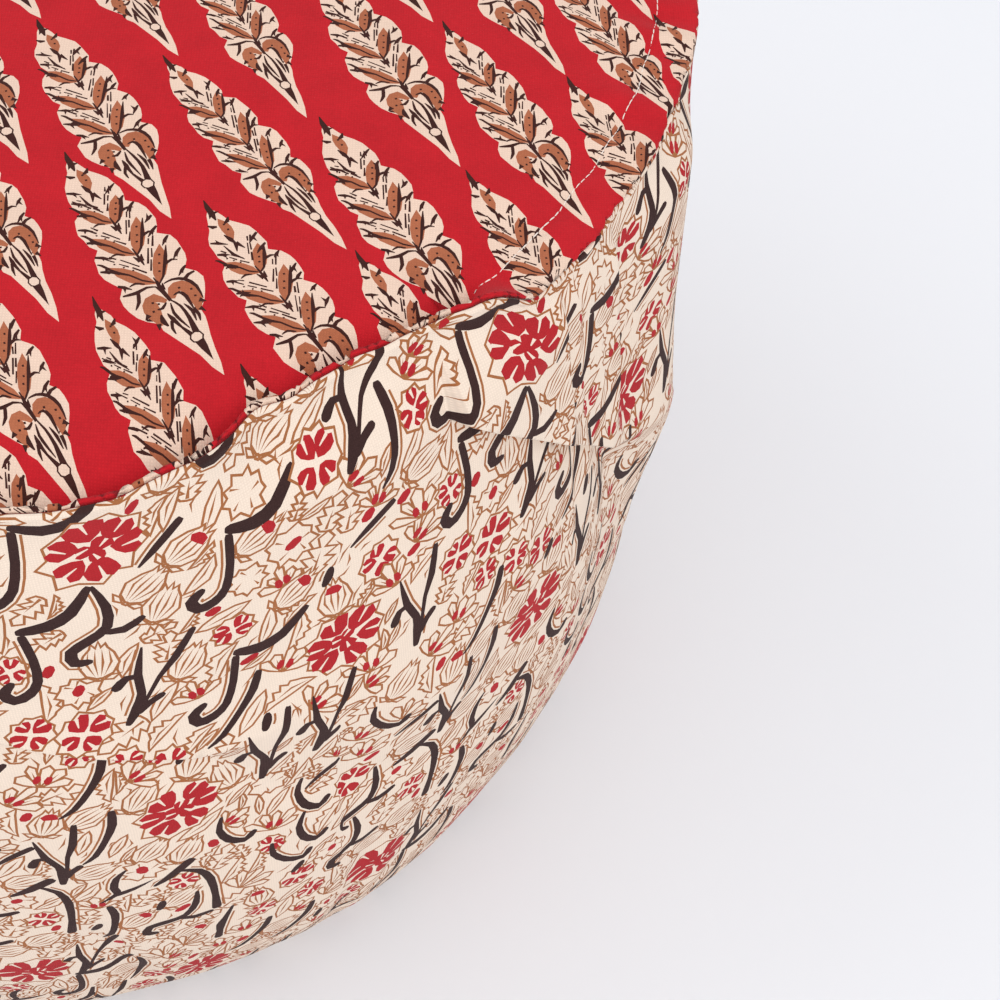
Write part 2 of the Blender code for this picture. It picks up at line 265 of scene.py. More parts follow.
def turned(a, b):
    """How far turn a is past turn b, from -180 to 180."""
    return (a - b + 180) % 360 - 180


def between(height, low, high, early=0.0):
    """1 between two heights and 0 past them, eased; early is the share of the fade that lies past them."""
    return ease((height - low) / CREASE_FADE + early) * ease((high - height) / CREASE_FADE + early)


def tuck_push(turn, height):
    """How far the tucks push the wall out."""
    push = 0.0
    for from_turn, from_height, to_turn, to_height, lap in TUCKS:
        run = math.radians(to_turn - from_turn) * RIM_RADIUS
        rise = to_height - from_height
        length = math.hypot(run, rise)
        x = np.radians(turned(turn, (from_turn + to_turn) / 2)) * RIM_RADIUS + run / 2
        y = height - from_height
        along_tuck = (x * run + y * rise) / length
        above = (y * run - x * rise) / length
        ends = ease(along_tuck / TUCK_FADE) * ease((length - along_tuck) / TUCK_FADE)
        step = TUCK_STEP + TUCK_SOFT * ease((along_tuck / length - TUCK_FIRM) / (TUCK_LOOSE - TUCK_FIRM))
        past = np.maximum(np.abs(above) - step / 2, 0.0)
        bulge = np.exp(-past / TUCK_ABOVE)
        dip = -TUCK_DIP * np.exp(-past / TUCK_BELOW)
        push = push + lap * ends * (dip + (bulge - dip) * ease(above / step + 0.5))
    return push


def crease_push(turn, height):
    """How far the upright creases push the wall out."""
    push = 0.0
    for middle, low, high, depth, slant in CREASES:
        lean = slant * (height - low) / (high - low)
        across = np.radians(turned(turn, middle + lean)) * RIM_RADIUS / CREASE_WIDTH
        lip = CREASE_LIP * np.exp(-(across - CREASE_LIP_AT) ** 2)
        push = push + depth * between(height, low, high) * (lip - np.exp(-across ** 2))
    return push


def waves(table, turn, height):
    """The sum of a table's waves."""
    a = np.radians(turn)
    return sum(share * np.sin(count * a + lean * height + start) for count, lean, share, start in table)


def bulge_push(turn, height):
    """How far the soft bulges push the wall out."""
    push = 0.0
    for middle, low, high, out, half in BULGES:
        push = push + out * between(height, low, high) * ease(1 - np.abs(turned(turn, middle)) / half)
    return push


def unevenness(turn, height):
    """Slow lumps of the filling and the small rumples of the cloth."""
    lumps = LUMP * waves(LUMPS, turn, height) * ease(height / LUMP_FOOT)
    return lumps + RUMPLE * waves(RUMPLES, turn, height)


def wall_radius(turn, height):
    push = tuck_push(turn, height) + crease_push(turn, height)
    push = push + bulge_push(turn, height) + unevenness(turn, height)
    return along(WALL, height) + push * ease(height / FOLD_FOOT)


def rim(turn):
    """The flange at each turn: its slope, stitched edge (radius, height) and crest (radius, height)."""
    stand, crest_radius = flange_at(turn)
    slope = np.radians(FLANGE_DROOP + (FLANGE_STAND - FLANGE_DROOP) * stand)
    crest = crest_radius, RIM_HEIGHT + FLANGE_RISE * np.sin(np.maximum(slope, 0.0))
    stitch = crest[0] - FLANGE_WIDTH * np.cos(slope), crest[1] - FLANGE_WIDTH * np.sin(slope)
    return stand, slope, stitch, crest


def pucker(turn, past):
    """Small puckers across the stitching; past is the distance outside it."""
    a = np.radians(turn)
    swing = np.sin(89 * a + 2.0 * np.sin(7 * a)) + 0.7 * np.sin(61 * a + 1.3 * np.sin(11 * a) + 1.0)
    fade = np.exp(-np.abs(past) / np.where(past > 0, FLANGE_WIDTH, PUCKER_REACH))
    return PUCKER * swing * fade - STITCH_SINK * np.exp(-(past / STITCH_GROOVE) ** 2)


def panel(turn, rho):
    """The top cloth's upper face, rho metres of cloth out from its middle: (radius, height)."""
    stand, slope, stitch, _ = rim(turn)
    share = np.minimum(rho / stitch[0], 1.0)
    inside = (1 - share) * stitch[0] / ROLL_REACH
    roll = ROLL * stand * inside * np.exp(1 - inside)
    middle = RIM_HEIGHT + CROWN
    past = np.minimum(rho - stitch[0], FLANGE_WIDTH)
    lift = pucker(turn, past)
    out = np.maximum(past, 0.0)
    radius = share * stitch[0] + out * np.cos(slope)
    height = middle - (middle - stitch[1]) * share ** CROWN_POWER + roll + out * np.sin(slope)
    bend = np.where(past > 0, slope, 0.0)
    return radius - lift * np.sin(bend), height + lift * np.cos(bend)


SLOPE_STEP = 0.0015     # the panel's slope is taken over this much to each side


def under_panel(turn, rho, depth):
    """The panel's face this far under its upper one."""
    r, z = panel(turn, rho)
    near_r, near_z = panel(turn, np.maximum(rho - SLOPE_STEP, 0.0))
    far_r, far_z = panel(turn, rho + SLOPE_STEP)
    dr, dz = far_r - near_r, far_z - near_z
    size = np.hypot(dr, dz) + 1e-12
    return r + depth * dz / size, z - depth * dr / size


def rho_crest(turn):
    """Cloth from the top's middle out to the flange's crest."""
    return rim(turn)[2][0] + FLANGE_WIDTH


FOLD = math.pi * CLOTH / 2      # cloth taken up by a folded edge


def folded_edge(edge, side, slope, past):
    """A cloth's folded edge, as thick as the cloth: past is the cloth beyond its start."""
    around = past / (CLOTH / 2)
    c, s = np.cos(around) * CLOTH / 2, np.sin(around) * CLOTH / 2
    centre_r, centre_z = edge[0] - side[0] * CLOTH / 2, edge[1] - side[1] * CLOTH / 2
    return centre_r + side[0] * c + np.cos(slope) * s, centre_z + side[1] * c + np.sin(slope) * s


def top_line(turn, rho):
    """The top cloth's outside, upper face and folded edge."""
    slope = rim(turn)[1]
    crest_rho = rho_crest(turn)
    r, z = panel(turn, np.minimum(rho, crest_rho))
    up = -np.sin(slope), np.cos(slope)
    fold_r, fold_z = folded_edge(panel(turn, crest_rho), up, slope, rho - crest_rho)
    past = rho > crest_rho
    return np.where(past, fold_r, r), np.where(past, fold_z, z)


def inner_crest(turn):
    """Where the side cloth's inner face meets the fold at its crest."""
    slope = rim(turn)[1]
    r, z = panel(turn, rho_crest(turn))
    deep = CLOTH + GAP
    return r + deep * np.sin(slope), z - deep * np.cos(slope)


def shoulder_reach(turn):
    """Where the shoulder starts and ends, the flange's slope there, and the straight way between."""
    slope = rim(turn)[1]
    r, z = inner_crest(turn)
    crest = r + CLOTH * np.sin(slope), z - CLOTH * np.cos(slope)
    start = wall_radius(turn, np.full_like(turn, SHOULDER))
    return start, crest, slope, np.hypot(crest[0] - start, crest[1] - SHOULDER)


def side_line(turn, height):
    """The side cloth's outside: up the wall, over the shoulder and round the crest's fold."""
    start, crest, slope, reach = shoulder_reach(turn)
    wall = wall_radius(turn, np.minimum(height, SHOULDER))
    t = np.clip((height - SHOULDER) / reach, 0.0, 1.0)
    lean = math.radians(SHOULDER_LEAN)
    end_slope = lean + (slope - lean) * ease(slope / math.radians(SHOULDER_TURN))
    rise, fall = reach * t * (1 - t) ** 2, -reach * t * t * (1 - t)
    keep, come = (1 + 2 * t) * (1 - t) ** 2, t * t * (3 - 2 * t)
    over_r = keep * start + come * crest[0] + fall * np.cos(end_slope)
    over_z = keep * SHOULDER + come * crest[1] + rise + fall * np.sin(end_slope)
    down = np.sin(slope), -np.cos(slope)
    fold_r, fold_z = folded_edge(crest, down, slope, height - SHOULDER - reach)
    on_wall, past = height <= SHOULDER, height > SHOULDER + reach
    return (np.where(on_wall, wall, np.where(past, fold_r, over_r)),
            np.where(on_wall, height, np.where(past, fold_z, over_z)))


def crest_length(turn):
    """Cloth from the floor up to the inner end of the crest's fold."""
    return SHOULDER + shoulder_reach(turn)[3] + FOLD


def stood(turn, radius, height):
    """Places in the frame at these turns, radii and heights."""
    a = np.radians(turn)
    return np.stack([radius * np.cos(a), radius * np.sin(a), height], axis=-1)


# Flat prints

def way_to(a, b):
    """Distance from a to b, and the unit way along and to the left."""
    (ax, ay), (bx, by) = a, b
    size = math.hypot(bx - ax, by - ay) or 1.0
    return size, ((bx - ax) / size, (by - ay) / size), (-(by - ay) / size, (bx - ax) / size)


def smooth(points, steps):
    """Points on a smooth open curve through the given ones."""
    ends = [points[0], *points, points[-1]]
    curve = []
    for four in zip(ends, ends[1:], ends[2:], ends[3:]):
        for k in range(steps):
            t = k / steps
            curve.append(tuple(
                0.5 * (2 * b + (c - a) * t + (2 * a - 5 * b + 4 * c - d) * t * t
                       + (3 * b - a - 3 * c + d) * t ** 3)
                for a, b, c, d in zip(*four)))
    return curve + [tuple(points[-1])]


def beside(line, offset):
    """Places beside a line of (x, y, width), moved left by offset(width)."""
    moved = []
    for i, (x, y, width) in enumerate(line):
        _, _, left = way_to(line[max(i - 1, 0)][:2], line[min(i + 1, len(line) - 1)][:2])
        off = offset(width)
        moved.append((x + left[0] * off, y + left[1] * off))
    return moved


THINNEST = 0.12         # line of ink, in mm
TIP_REACH = 0.45        # a round end's reach past the brush's last place, as a share of the width there
TIP_WIDTH = 0.4         # and its own width, also as a share


def stroke(points, widths, steps=2):
    """A brush stroke along the points, with its full width at each."""
    line = smooth([(x, y, width) for (x, y), width in zip(points, widths)], steps)
    left = beside(line, lambda width: max(width, THINNEST) / 2)
    right = beside(line, lambda width: -max(width, THINNEST) / 2)
    return left + right[::-1]


def black(points, widths, steps=2):
    return BLACK, stroke(points, widths, steps)


def brush(points, widths):
    """A stroke with rounded ends."""
    (ax, ay), (bx, by) = points[:2]
    (cx, cy), (dx, dy) = points[-2:]
    before = widths[0] * TIP_REACH / math.hypot(bx - ax, by - ay)
    after = widths[-1] * TIP_REACH / math.hypot(dx - cx, dy - cy)
    start = ax - (bx - ax) * before, ay - (by - ay) * before
    end = dx + (dx - cx) * after, dy + (dy - cy) * after
    return stroke([start, *points, end], (widths[0] * TIP_WIDTH, *widths, widths[-1] * TIP_WIDTH))


LENS_STEPS = 4          # along each side


def lens(a, b, width, bow, blunt):
    """A pointed lens from a to b, its middle moved sideways by bow; a low blunt gives a fuller one."""
    size, (ux, uy), _ = way_to(a, b)
    sides = []
    for sign in (1, -1):
        run = []
        for k in range(LENS_STEPS + 1):
            t = k / LENS_STEPS
            off = bow * 4 * t * (1 - t) + sign * width / 2 * math.sin(math.pi * t) ** blunt
            run.append((a[0] + ux * size * t - uy * off, a[1] + uy * size * t + ux * off))
        sides.append(run)
    return sides[0] + sides[1][-2:0:-1]


def dot(x, y, size, sides=4):
    turns = [0.6 + 2 * math.pi * k / sides for k in range(sides)]
    return [(x + size / 2 * math.cos(a), y + size / 2 * math.sin(a)) for a in turns]


def placed(shapes, at, turn=0.0, mirror=1):
    """Shapes mirrored, turned and moved."""
    c, s = math.cos(turn), math.sin(turn)
    return [
        (ink, [(at[0] + c * x - s * y * mirror, at[1] + s * x + c * y * mirror) for x, y in outline])
        for ink, outline in shapes
    ]


def lobe_start(side):
    """Where a margin's first lobe starts along the leaf."""
    return 5.5 if side > 0 else 3.5


def leaf_margin(s, side):
    """The printed leaf's half width with its lobes, at a place along it."""
    half = float(np.interp(s, *zip(*LEAF_HALF)))
    into = (s - lobe_start(side)) / LOBE % 1.0
    depth = LOBE_DEPTH * min(max((s - 2) / 8, 0), 1) * min(max((70 - s) / 8, 0), 1)
    return half + depth * (math.sin(math.pi * into ** 0.8) ** 0.6 - 0.7)


def ray(s, y, angle, reach, side):
    """The end of a vein that leaves the midrib at s and leans towards the leaf's head."""
    return s - reach * math.cos(angle), side * (y + reach * math.sin(angle))


def thorn(x, y, dx, dy, wide=1.5):
    """A small black spike from (x, y)."""
    _, _, left = way_to((0, 0), (dx, dy))
    nx, ny = left[0] * wide / 2, left[1] * wide / 2
    return BLACK, [(x + nx, y + ny), (x - nx, y - ny), (x + dx, y + dy)]


def tick(rng, s, side, deep):
    """A forked black hook that runs in from the leaf's margin."""
    out = leaf_margin(s, side) - 0.3
    lean, arm = rng.uniform(1.2, 2.6), rng.choice((-1, 1, 1))
    fork = s + lean * 0.35, side * (out - deep * 0.5)
    end = s + lean, side * (out - deep)
    hook = black([(s - 0.3, side * out), fork, end], (rng.uniform(0.4, 0.8), 1.1, 0.25))
    return [hook, thorn(*fork, arm * rng.uniform(1.2, 2.2), side * rng.uniform(-0.8, 0.8), 1.1)]


# Broken veins beside a leaflet: distance from it, and where each piece of them starts and stops
BROKEN_VEINS = [(4.0, ((0.02, 0.32), (0.4, 0.62), (0.7, 0.98))), (5.8, ((0.1, 0.5), (0.6, 0.76)))]


def leaflet_pair(rng, base, reach):
    """Two brown leaflets that meet on the midrib, with their black lines, dots and broken veins."""
    shapes = []
    for side in (1, -1):
        angle = math.radians((29 if side > 0 else 37) + rng.uniform(-2, 2))
        b = base + rng.uniform(-0.4, 0.4)

        def at(share, off=0.0, out=0.5):
            """A place along the leaflet, moved towards the leaf's tail and out."""
            return ray(b + off, out, angle, reach * share, side)

        shapes.append((BROWN, lens(at(0, 0.8, 0.0), at(1), 4.2, bow=side * -0.4, blunt=0.55)))
        if side > 0:
            lines = [
                ([at(-0.02, 0.8, 0.2), at(0.3, 2.6), at(0.62, 3.1), at(0.86, 3.0, 0.8), at(1.06, 2.0, 1.4)],
                 (0.5, 0.7, 1.0, 1.1, 0.3)),
                ([at(0.66, 3.1, 0.6), at(0.74, 3.6, 2.4), at(0.7, 4.0, 4.0)], (1.1, 0.8, 0.3)),
            ]
            shapes += [(BLACK, dot(*at(t, rng.uniform(0.0, 0.5)), 0.9)) for t in (0.3, 0.5, 0.72)]
        else:
            lines = [
                ([at(0.02, 0.2, 0.3), at(0.3, 0.9), at(0.55, 0.3), at(0.8, 1.1), at(1.02, 0.6, 0.6)],
                 (0.4, 0.6, 0.6, 1.0, 0.7)),
                ([at(0.78, 1.2), at(0.98, 1.8, 0.6), at(1.04, 2.6, 1.0)], (1.0, 0.8, 0.3)),
                ([at(0.98, 0.7, 0.5), at(1.08, -0.6, 0.9), at(1.12, -1.0, 1.5)], (0.9, 0.8, 0.3)),
                ([at(0.3, 2.4), at(0.5, 3.1, 0.9), at(0.58, 4.2, 2.2)], (0.4, 0.8, 0.3)),
            ]
            shapes += [(BLACK, dot(*at(t, -2.8), 0.75)) for t in (0.35, 0.55, 0.75)]
        lines += [
            ([at(low, rng.uniform(-0.3, 0.3) - gap), at(high, rng.uniform(-0.4, 0.4) - gap)],
             (rng.uniform(0.4, 0.7), rng.uniform(0.3, 0.6)))
            for gap, runs in BROKEN_VEINS
            for low, high in runs
        ]
        lines.append(([(base + 3.2, side * 0.2), (base + 0.9, side * 1.2)], (1.5, 0.3)))
        shapes += [black(points, widths, 2 if len(points) > 2 else 1) for points, widths in lines]
    return shapes + [black([(base - 2.0, 0.0), (base + 3.0, 0.1), (base + 5.0, 0.0)], (0.4, 1.0, 0.3), 1)]


# A leaf's broad end, each side from the midrib where the curls meet: ink, the brush's places, widths
CURLS = {
    1: [
        (BROWN, ((0.2, 0.8), (-2.4, 2.6), (-2.6, 5.0), (0.2, 6.6), (4.0, 6.2), (7.6, 5.0)),
         (1.6, 3.3, 3.8, 3.8, 3.2, 0.8)),
        (BLACK, ((-5.6, 1.4), (-5.8, 4.0), (-4.2, 7.0), (-0.4, 8.5), (4.2, 8.0)), (0.4, 0.8, 1.2, 1.0, 0.3)),
        (BLACK, ((-4.2, 7.0), (-5.2, 8.6), (-5.4, 10.6)), (1.2, 1.0, 0.6)),
        (BLACK, ((-0.6, 1.6), (-0.8, 3.4), (1.4, 4.4), (7.0, 4.0)), (0.3, 0.9, 1.2, 0.3)),
        (BLACK, ((4.2, 6.8), (5.6, 8.2)), (1.6, 0.3)),
        (BLACK, ((6.8, 5.6), (8.6, 6.4)), (1.5, 0.3)),
    ],
    -1: [
        (BROWN, ((0.4, -1.0), (-2.4, -3.2), (-1.0, -5.4), (2.2, -5.8), (6.6, -5.6)),
         (1.2, 3.0, 4.2, 4.2, 1.2)),
        (BLACK, ((-5.4, -0.8), (-6.6, -3.2), (-6.4, -6.6), (-7.2, -10.2)), (0.4, 0.8, 1.2, 0.5)),
        (BLACK, ((-6.4, -6.0), (-3.4, -7.4), (-1.6, -9.4)), (1.0, 1.1, 0.3)),
        (BLACK, ((0.6, -1.2), (1.8, -3.0), (1.4, -4.4)), (0.5, 1.0, 0.4)),
        (BLACK, ((1.6, -7.2), (2.6, -8.8)), (1.7, 0.3)),
        (BLACK, ((3.4, -4.4), (5.4, -5.0), (7.8, -4.6)), (0.4, 1.6, 0.5)),
        (BLACK, ((5.6, -6.4), (7.4, -7.2)), (1.6, 0.3)),
    ],
}
CURL_START = 58                 # along the leaf
RING = (73.2, 0.0)
CURL_DOTS = [(-2.2, 4.2), (-0.2, 6.8), (2.4, 6.6), (-1.4, -4.4), (1.2, -5.6), (-0.2, -3.2)]
# The strokes that fan from there towards the tail
FAN = [
    (((0.4, 0.3), (3.6, 1.3), (8.6, 1.5), (14.2, 0.8)), (0.5, 0.8, 1.2, 2.0)),
    (((3.4, 2.4), (6.6, 3.2), (10.4, 2.8)), (0.3, 1.1, 0.3)),
    (((6.8, 4.3), (8.8, 4.3), (11.0, 3.6)), (1.2, 1.0, 0.3)),
    (((1.2, -0.4), (4.6, -1.2), (8.2, -1.0), (11.6, -0.2)), (0.3, 0.9, 0.8, 0.3)),
    (((3.8, -2.6), (6.2, -2.6), (10.0, -2.0), (14.0, -0.8)), (0.3, 1.4, 0.7, 1.5)),
    (((6.6, -2.8), (8.8, -4.0), (11.0, -4.0)), (1.0, 0.9, 0.3)),
]


def leaf_tail(rng):
    """The curls, the fan of strokes and the ring at the leaf's broad end."""
    shapes = []
    for marks in CURLS.values():
        start = CURL_START - 0.4 + rng.uniform(-0.4, 0.4)
        for ink, points, widths in marks:
            shapes.append((ink, stroke([(start + x, y) for x, y in points], widths)))
    shapes += [(BLACK, dot(CURL_START + x, y, 0.95)) for x, y in CURL_DOTS]
    for points, widths in FAN:
        shapes.append(black([(CURL_START + x, y + rng.uniform(-0.2, 0.2)) for x, y in points], widths))
    shapes.append(black([(50.5, 0.1), (54, -0.2), (58.6, 0.1)], (0.9, 1.4, 1.0), 1))
    shapes += [(BLACK, dot(*RING, 4.2, 8)), (BRIGHT, dot(*RING, 3.2, 8))]
    return shapes + [(BLACK, [(74.6, -1.3), (77.2, -1.0), (82.4, 0.0), (77.2, 1.1), (74.6, 1.4)])]


MARGIN_STEP = 2.5               # from one point of a leaf's margin to the next
LEAFLETS = [(26.0, 10.0), (39.0, 13.0), (51.0, 13.6)]      # where each pair meets, and its reach
# Hooks along each margin
TICKS = {1: (13, 18, 22.5, 28.5, 33, 38.5, 44, 49.5, 63), -1: (10.5, 15, 20, 25, 30.5, 36, 41.5, 47, 61.5)}


def leaf(rng, wide):
    """One block-printed leaf, its head at 0 and its tail at LEAF_LENGTH along x."""
    margins = []
    for side in (1, -1):
        run = [(0.0, side * leaf_margin(0, side))]
        for s in [*np.arange(lobe_start(side) % MARGIN_STEP, 71, MARGIN_STEP), 74.5, 79, 84]:
            run.append((s + rng.uniform(-0.2, 0.2), side * (leaf_margin(s, side) + rng.uniform(-0.3, 0.3))))
        margins.append(run)
    shapes = [
        (BRIGHT, margins[0] + [(LEAF_LENGTH, 0.0)] + margins[1][::-1]),
        (BROWN, lens((3.4, 0.5), (12.4, 0.3), 3.2, bow=0.3, blunt=0.6)),
        *((BLACK, dot(s, 0.9, 0.9)) for s in (6.2, 8.4)),
    ]
    for side in (1, -1):
        shapes.append(black([(4.4, side * 3.4), (5.6, side * 2.4), (6.0, side * 1.2)], (0.4, 1.3, 0.6), 1))
        shapes.append(black([(13.8, 0.1), (16.8, side * 1.3)], (1.5, 0.3), 1))
    shapes.append(black([(9.6, -1.2), (12.0, -0.5), (14.0, 0.0)], (0.4, 1.5, 0.6), 1))
    shapes.append(black([(13.0, -3.4), (17.0, -2.8), (20.4, -1.0)], (0.3, 1.0, 0.3), 1))
    for base, reach in LEAFLETS:
        shapes += leaflet_pair(rng, base, reach)
    for side, ticks in TICKS.items():
        for s in ticks:
            shapes += tick(rng, s + rng.uniform(-0.8, 0.8), side, rng.uniform(2.6, 4.2))
    shapes += leaf_tail(rng)
    shapes.append(black([(-4.4, 0.8), (-1.6, 0.2), (1.0, 0.1), (3.8, -0.2)], (0.3, 1.5, 2.0, 0.4), 1))
    shapes += [thorn(1.0, 0.0, 0.4, 2.4, 1.6), thorn(0.8, 0.0, 1.8, -1.6, 1.6)]
    return [(ink, [(x, y * wide) for x, y in outline]) for ink, outline in shapes]


def leaf_print():
    """The leaves of the top panel, in rows that run one way."""
    rng = random.Random(5)
    kinds = [leaf(rng, wide) for wide in LEAF_WIDE]
    (ax, ay), (bx, by), (x0, y0) = LEAF_STEP, LEAF_CHAIN, LEAF_START
    even = []
    for i in LEAF_COLUMNS:
        for j in LEAF_ROWS:
            x, y = x0 + i * ax + j * bx, y0 + i * ay + j * by
            rise = float(ease((x - LEAF_RISE_FROM) / LEAF_RISE_RUN)) if j < 0 else 0.0
            even.append((x + rise * LEAF_RISE[0], y + rise * LEAF_RISE[1]))
    leaves = [(x, y, way, k % len(kinds)) for k, (x, y, way) in enumerate(LEAVES_APART)]
    for x, y in even:
        if all(math.hypot(x - a, y - b) > LEAF_ROOM for a, b, _ in LEAVES_APART):
            x, y = (place + rng.uniform(-LEAF_DRIFT, LEAF_DRIFT) for place in (x, y))
            way = LEAF_WAY + rng.uniform(-LEAF_SWING, LEAF_SWING)
            leaves.append((x, y, way, rng.randrange(len(kinds))))
    shapes = []
    for x, y, way, kind in leaves:
        way = math.radians(way)
        middle = math.hypot(x + math.cos(way) * LEAF_LENGTH / 2, y + math.sin(way) * LEAF_LENGTH / 2)
        if middle < TOP_FLAT + LEAF_LENGTH / 2:
            shapes += placed(kinds[kind], (x, y), way)
    return shapes


def shrunk(points, gap):
    """A closed outline moved inwards by a gap."""
    before = points[-1:] + points[:-1]
    after = points[1:] + points[:1]
    area = sum(a[0] * b[1] - b[0] * a[1] for a, b in zip(points, after))
    way = 1 if area > 0 else -1
    moved = []
    for a, (x, y), b in zip(before, points, after):
        _, _, (ux, uy) = way_to(a, (x, y))
        _, _, (vx, vy) = way_to((x, y), b)
        nx, ny = (ux + vx) * way, (uy + vy) * way
        size = math.hypot(nx, ny) or 1
        reach = gap / max(size / 2, 0.5)
        moved.append((x + nx / size * reach, y + ny / size * reach))
    return moved


def outlined(points):
    """A brown outline filled with the ground's colour."""
    return [(BROWN, points), (GROUND, shrunk(points, LINE))]


def mark(a, b, width=0.8):
    """A short brown line, broad at a."""
    _, _, left = way_to(a, b)
    nx, ny = left[0] * width / 2, left[1] * width / 2
    return BROWN, [(a[0] + nx, a[1] + ny), (a[0] - nx, a[1] - ny), b]


def rib(a, b, bow, width=LINE):
    """A bowed brown line, thin at both ends."""
    _, _, (nx, ny) = way_to(a, b)
    mx, my = (a[0] + b[0]) / 2 + nx * bow, (a[1] + b[1]) / 2 + ny * bow
    half = width / 2
    return BROWN, [a, (mx - nx * half, my - ny * half), b, (mx + nx * half, my + ny * half)]


def on_ray(radius, angle):
    return radius * math.cos(angle), radius * math.sin(angle)


def toothed_leaf(rng, length, width, teeth=4):
    """A broad leaf with pointed teeth, a short vein and a side vein."""
    sides = []
    for side in (1, -1):
        run = []
        for tooth in range(teeth):
            share = (tooth + 0.75) / (teeth + 0.4)
            half = width / 2 * math.sin(math.pi * share ** 0.8) ** 0.6
            run.append(((share - 0.15) * length, side * half * rng.uniform(0.45, 0.7)))
            run.append(((share + 0.05) * length, side * half * rng.uniform(0.95, 1.25)))
        sides.append(run)
    shapes = outlined([(0.0, 0.0)] + sides[0] + [(length * 1.08, 0.0)] + sides[1][::-1])
    shapes.append(mark((length * 0.08, 0), (length * 0.6, rng.uniform(-0.8, 0.8)), 1.1))
    side, at = rng.choice((1, -1)), length * rng.uniform(0.3, 0.42)
    shapes.append(mark((at, 0), (at + 1.8, side * width * 0.24)))
    return shapes


def long_leaf(rng, length, width):
    """A slim bowed leaf with one rib."""
    bow = rng.uniform(-0.12, 0.12) * length

    def edge(side, shares):
        return [(length * t, side * width / 2 * math.sin(math.pi * t) ** 0.8 + bow * 4 * t * (1 - t))
                for t in shares]

    shapes = outlined(edge(1, (0, 0.25, 0.55, 0.82, 1)) + edge(-1, (0.82, 0.55, 0.25)))
    shapes.append(rib((length * 0.14, bow * 0.4), (length * 0.8, bow * 0.5), bow * 0.45 + width * 0.05))
    return shapes


def flame_leaf(rng, length, width):
    """A slim leaf, one edge torn into steps like a flame, with a line inside."""
    bow = rng.uniform(0.06, 0.16) * length
    torn = []
    for k in range(5):
        share = 0.1 + 0.17 * k
        out = width * 0.62 * math.sin(math.pi * share ** 0.8)
        torn.append((length * share, out * rng.uniform(0.6, 0.85)))
        torn.append((length * (share + 0.1), out * rng.uniform(0.95, 1.2) + 0.3))
    plain = [(length * t, -width * 0.35 * math.sin(math.pi * t)) for t in (0.8, 0.5, 0.2)]
    outline = [(0.0, 0.0), *torn, (length * 1.05, 0.3), *plain]
    shapes = outlined([(x, y + bow * 4 * (x / length) * (1 - x / length)) for x, y in outline])
    return shapes + [rib((length * 0.12, bow * 0.5), (length * 0.75, bow * 0.9), bow * 0.5)]


# A bud's outlines: share of its length, and share of its half width or mm from its middle line
BUD_SIDE = [(0, 0.16), (0.12, 0.72), (0.42, 1.06), (0.75, 0.8), (0.92, 0.5)]
BUD_TIP = [(1.1, 2.2), (0.97, 0.9), (1.16, 0.0), (0.98, -0.8), (1.08, -2.0)]
BUD_CAP = [(0.74, -2.6), (0.86, -1.4), (0.9, 0.4), (0.86, 2.2), (0.7, 2.8), (0.66, 0.6), (0.64, -1.4)]


def bud(red, length=14.5, width=11.0):
    """A striped bud with a frayed tip, on two small sepals."""
    upper = [(length * t, half * width / 2) for t, half in BUD_SIDE]
    tip = [(length * t, y) for t, y in BUD_TIP]
    shapes = outlined(upper + tip + [(x, -y) for x, y in upper[::-1]])
    for a, bow in ((-0.6, -1.3), (-0.2, -0.4), (0.2, 0.5), (0.6, 1.3)):
        start, end = (length * 0.06, a * width * 0.16), (length * 0.9, a * width * 0.4)
        shapes.append(rib(start, end, bow * width * 0.1))
    if red:
        shapes.append((BRIGHT, [(length * t, y) for t, y in BUD_CAP]))
    for side in (1, -1):
        sepal = [(-0.6, 0.4), (-1.2, width * 0.34), (1.5, width * 0.56), (1.6, width * 0.26)]
        shapes += outlined([(x, side * y) for x, y in sepal])
    return shapes + outlined([(0.9, 0.0), (0.2, 1.1), (-1.0, 0.9), (-1.0, -0.9), (0.2, -1.1)])


def torn_rim(rng, radius, outer, inner, lag, drift, teeth=9):
    """A round outline with uneven teeth between an outer and an inner range of radii."""
    line = []
    for k in range(teeth):
        a = 2 * math.pi * (k + rng.uniform(-drift, drift)) / teeth
        line.append(on_ray(radius * rng.uniform(*outer), a))
        line.append(on_ray(radius * rng.uniform(*inner), a + lag))
    return outlined(line)


def ragged_flower(rng, radius, red):
    """A round flower head with a torn rim, a few lines and sometimes a red heart."""
    shapes = torn_rim(rng, radius, (0.98, 1.2), (0.76, 0.9), 0.3, 0.2)
    for k in range(4):
        a = 2 * math.pi * (k + rng.uniform(-0.3, 0.3)) / 4
        shapes.append(mark(on_ray(radius * 0.72, a), on_ray(radius * 0.3, a + rng.uniform(-0.6, 0.6))))
    if red:
        shapes += placed(dab(rng, radius * 0.7, radius * 0.45), on_ray(radius * 0.3, 3.0))
    return shapes


DROP = [(-1.6, -0.6), (0, -1.3), (2.0, -0.7), (2.2, 0.7), (0.2, 1.2), (-1.5, 0.6)]


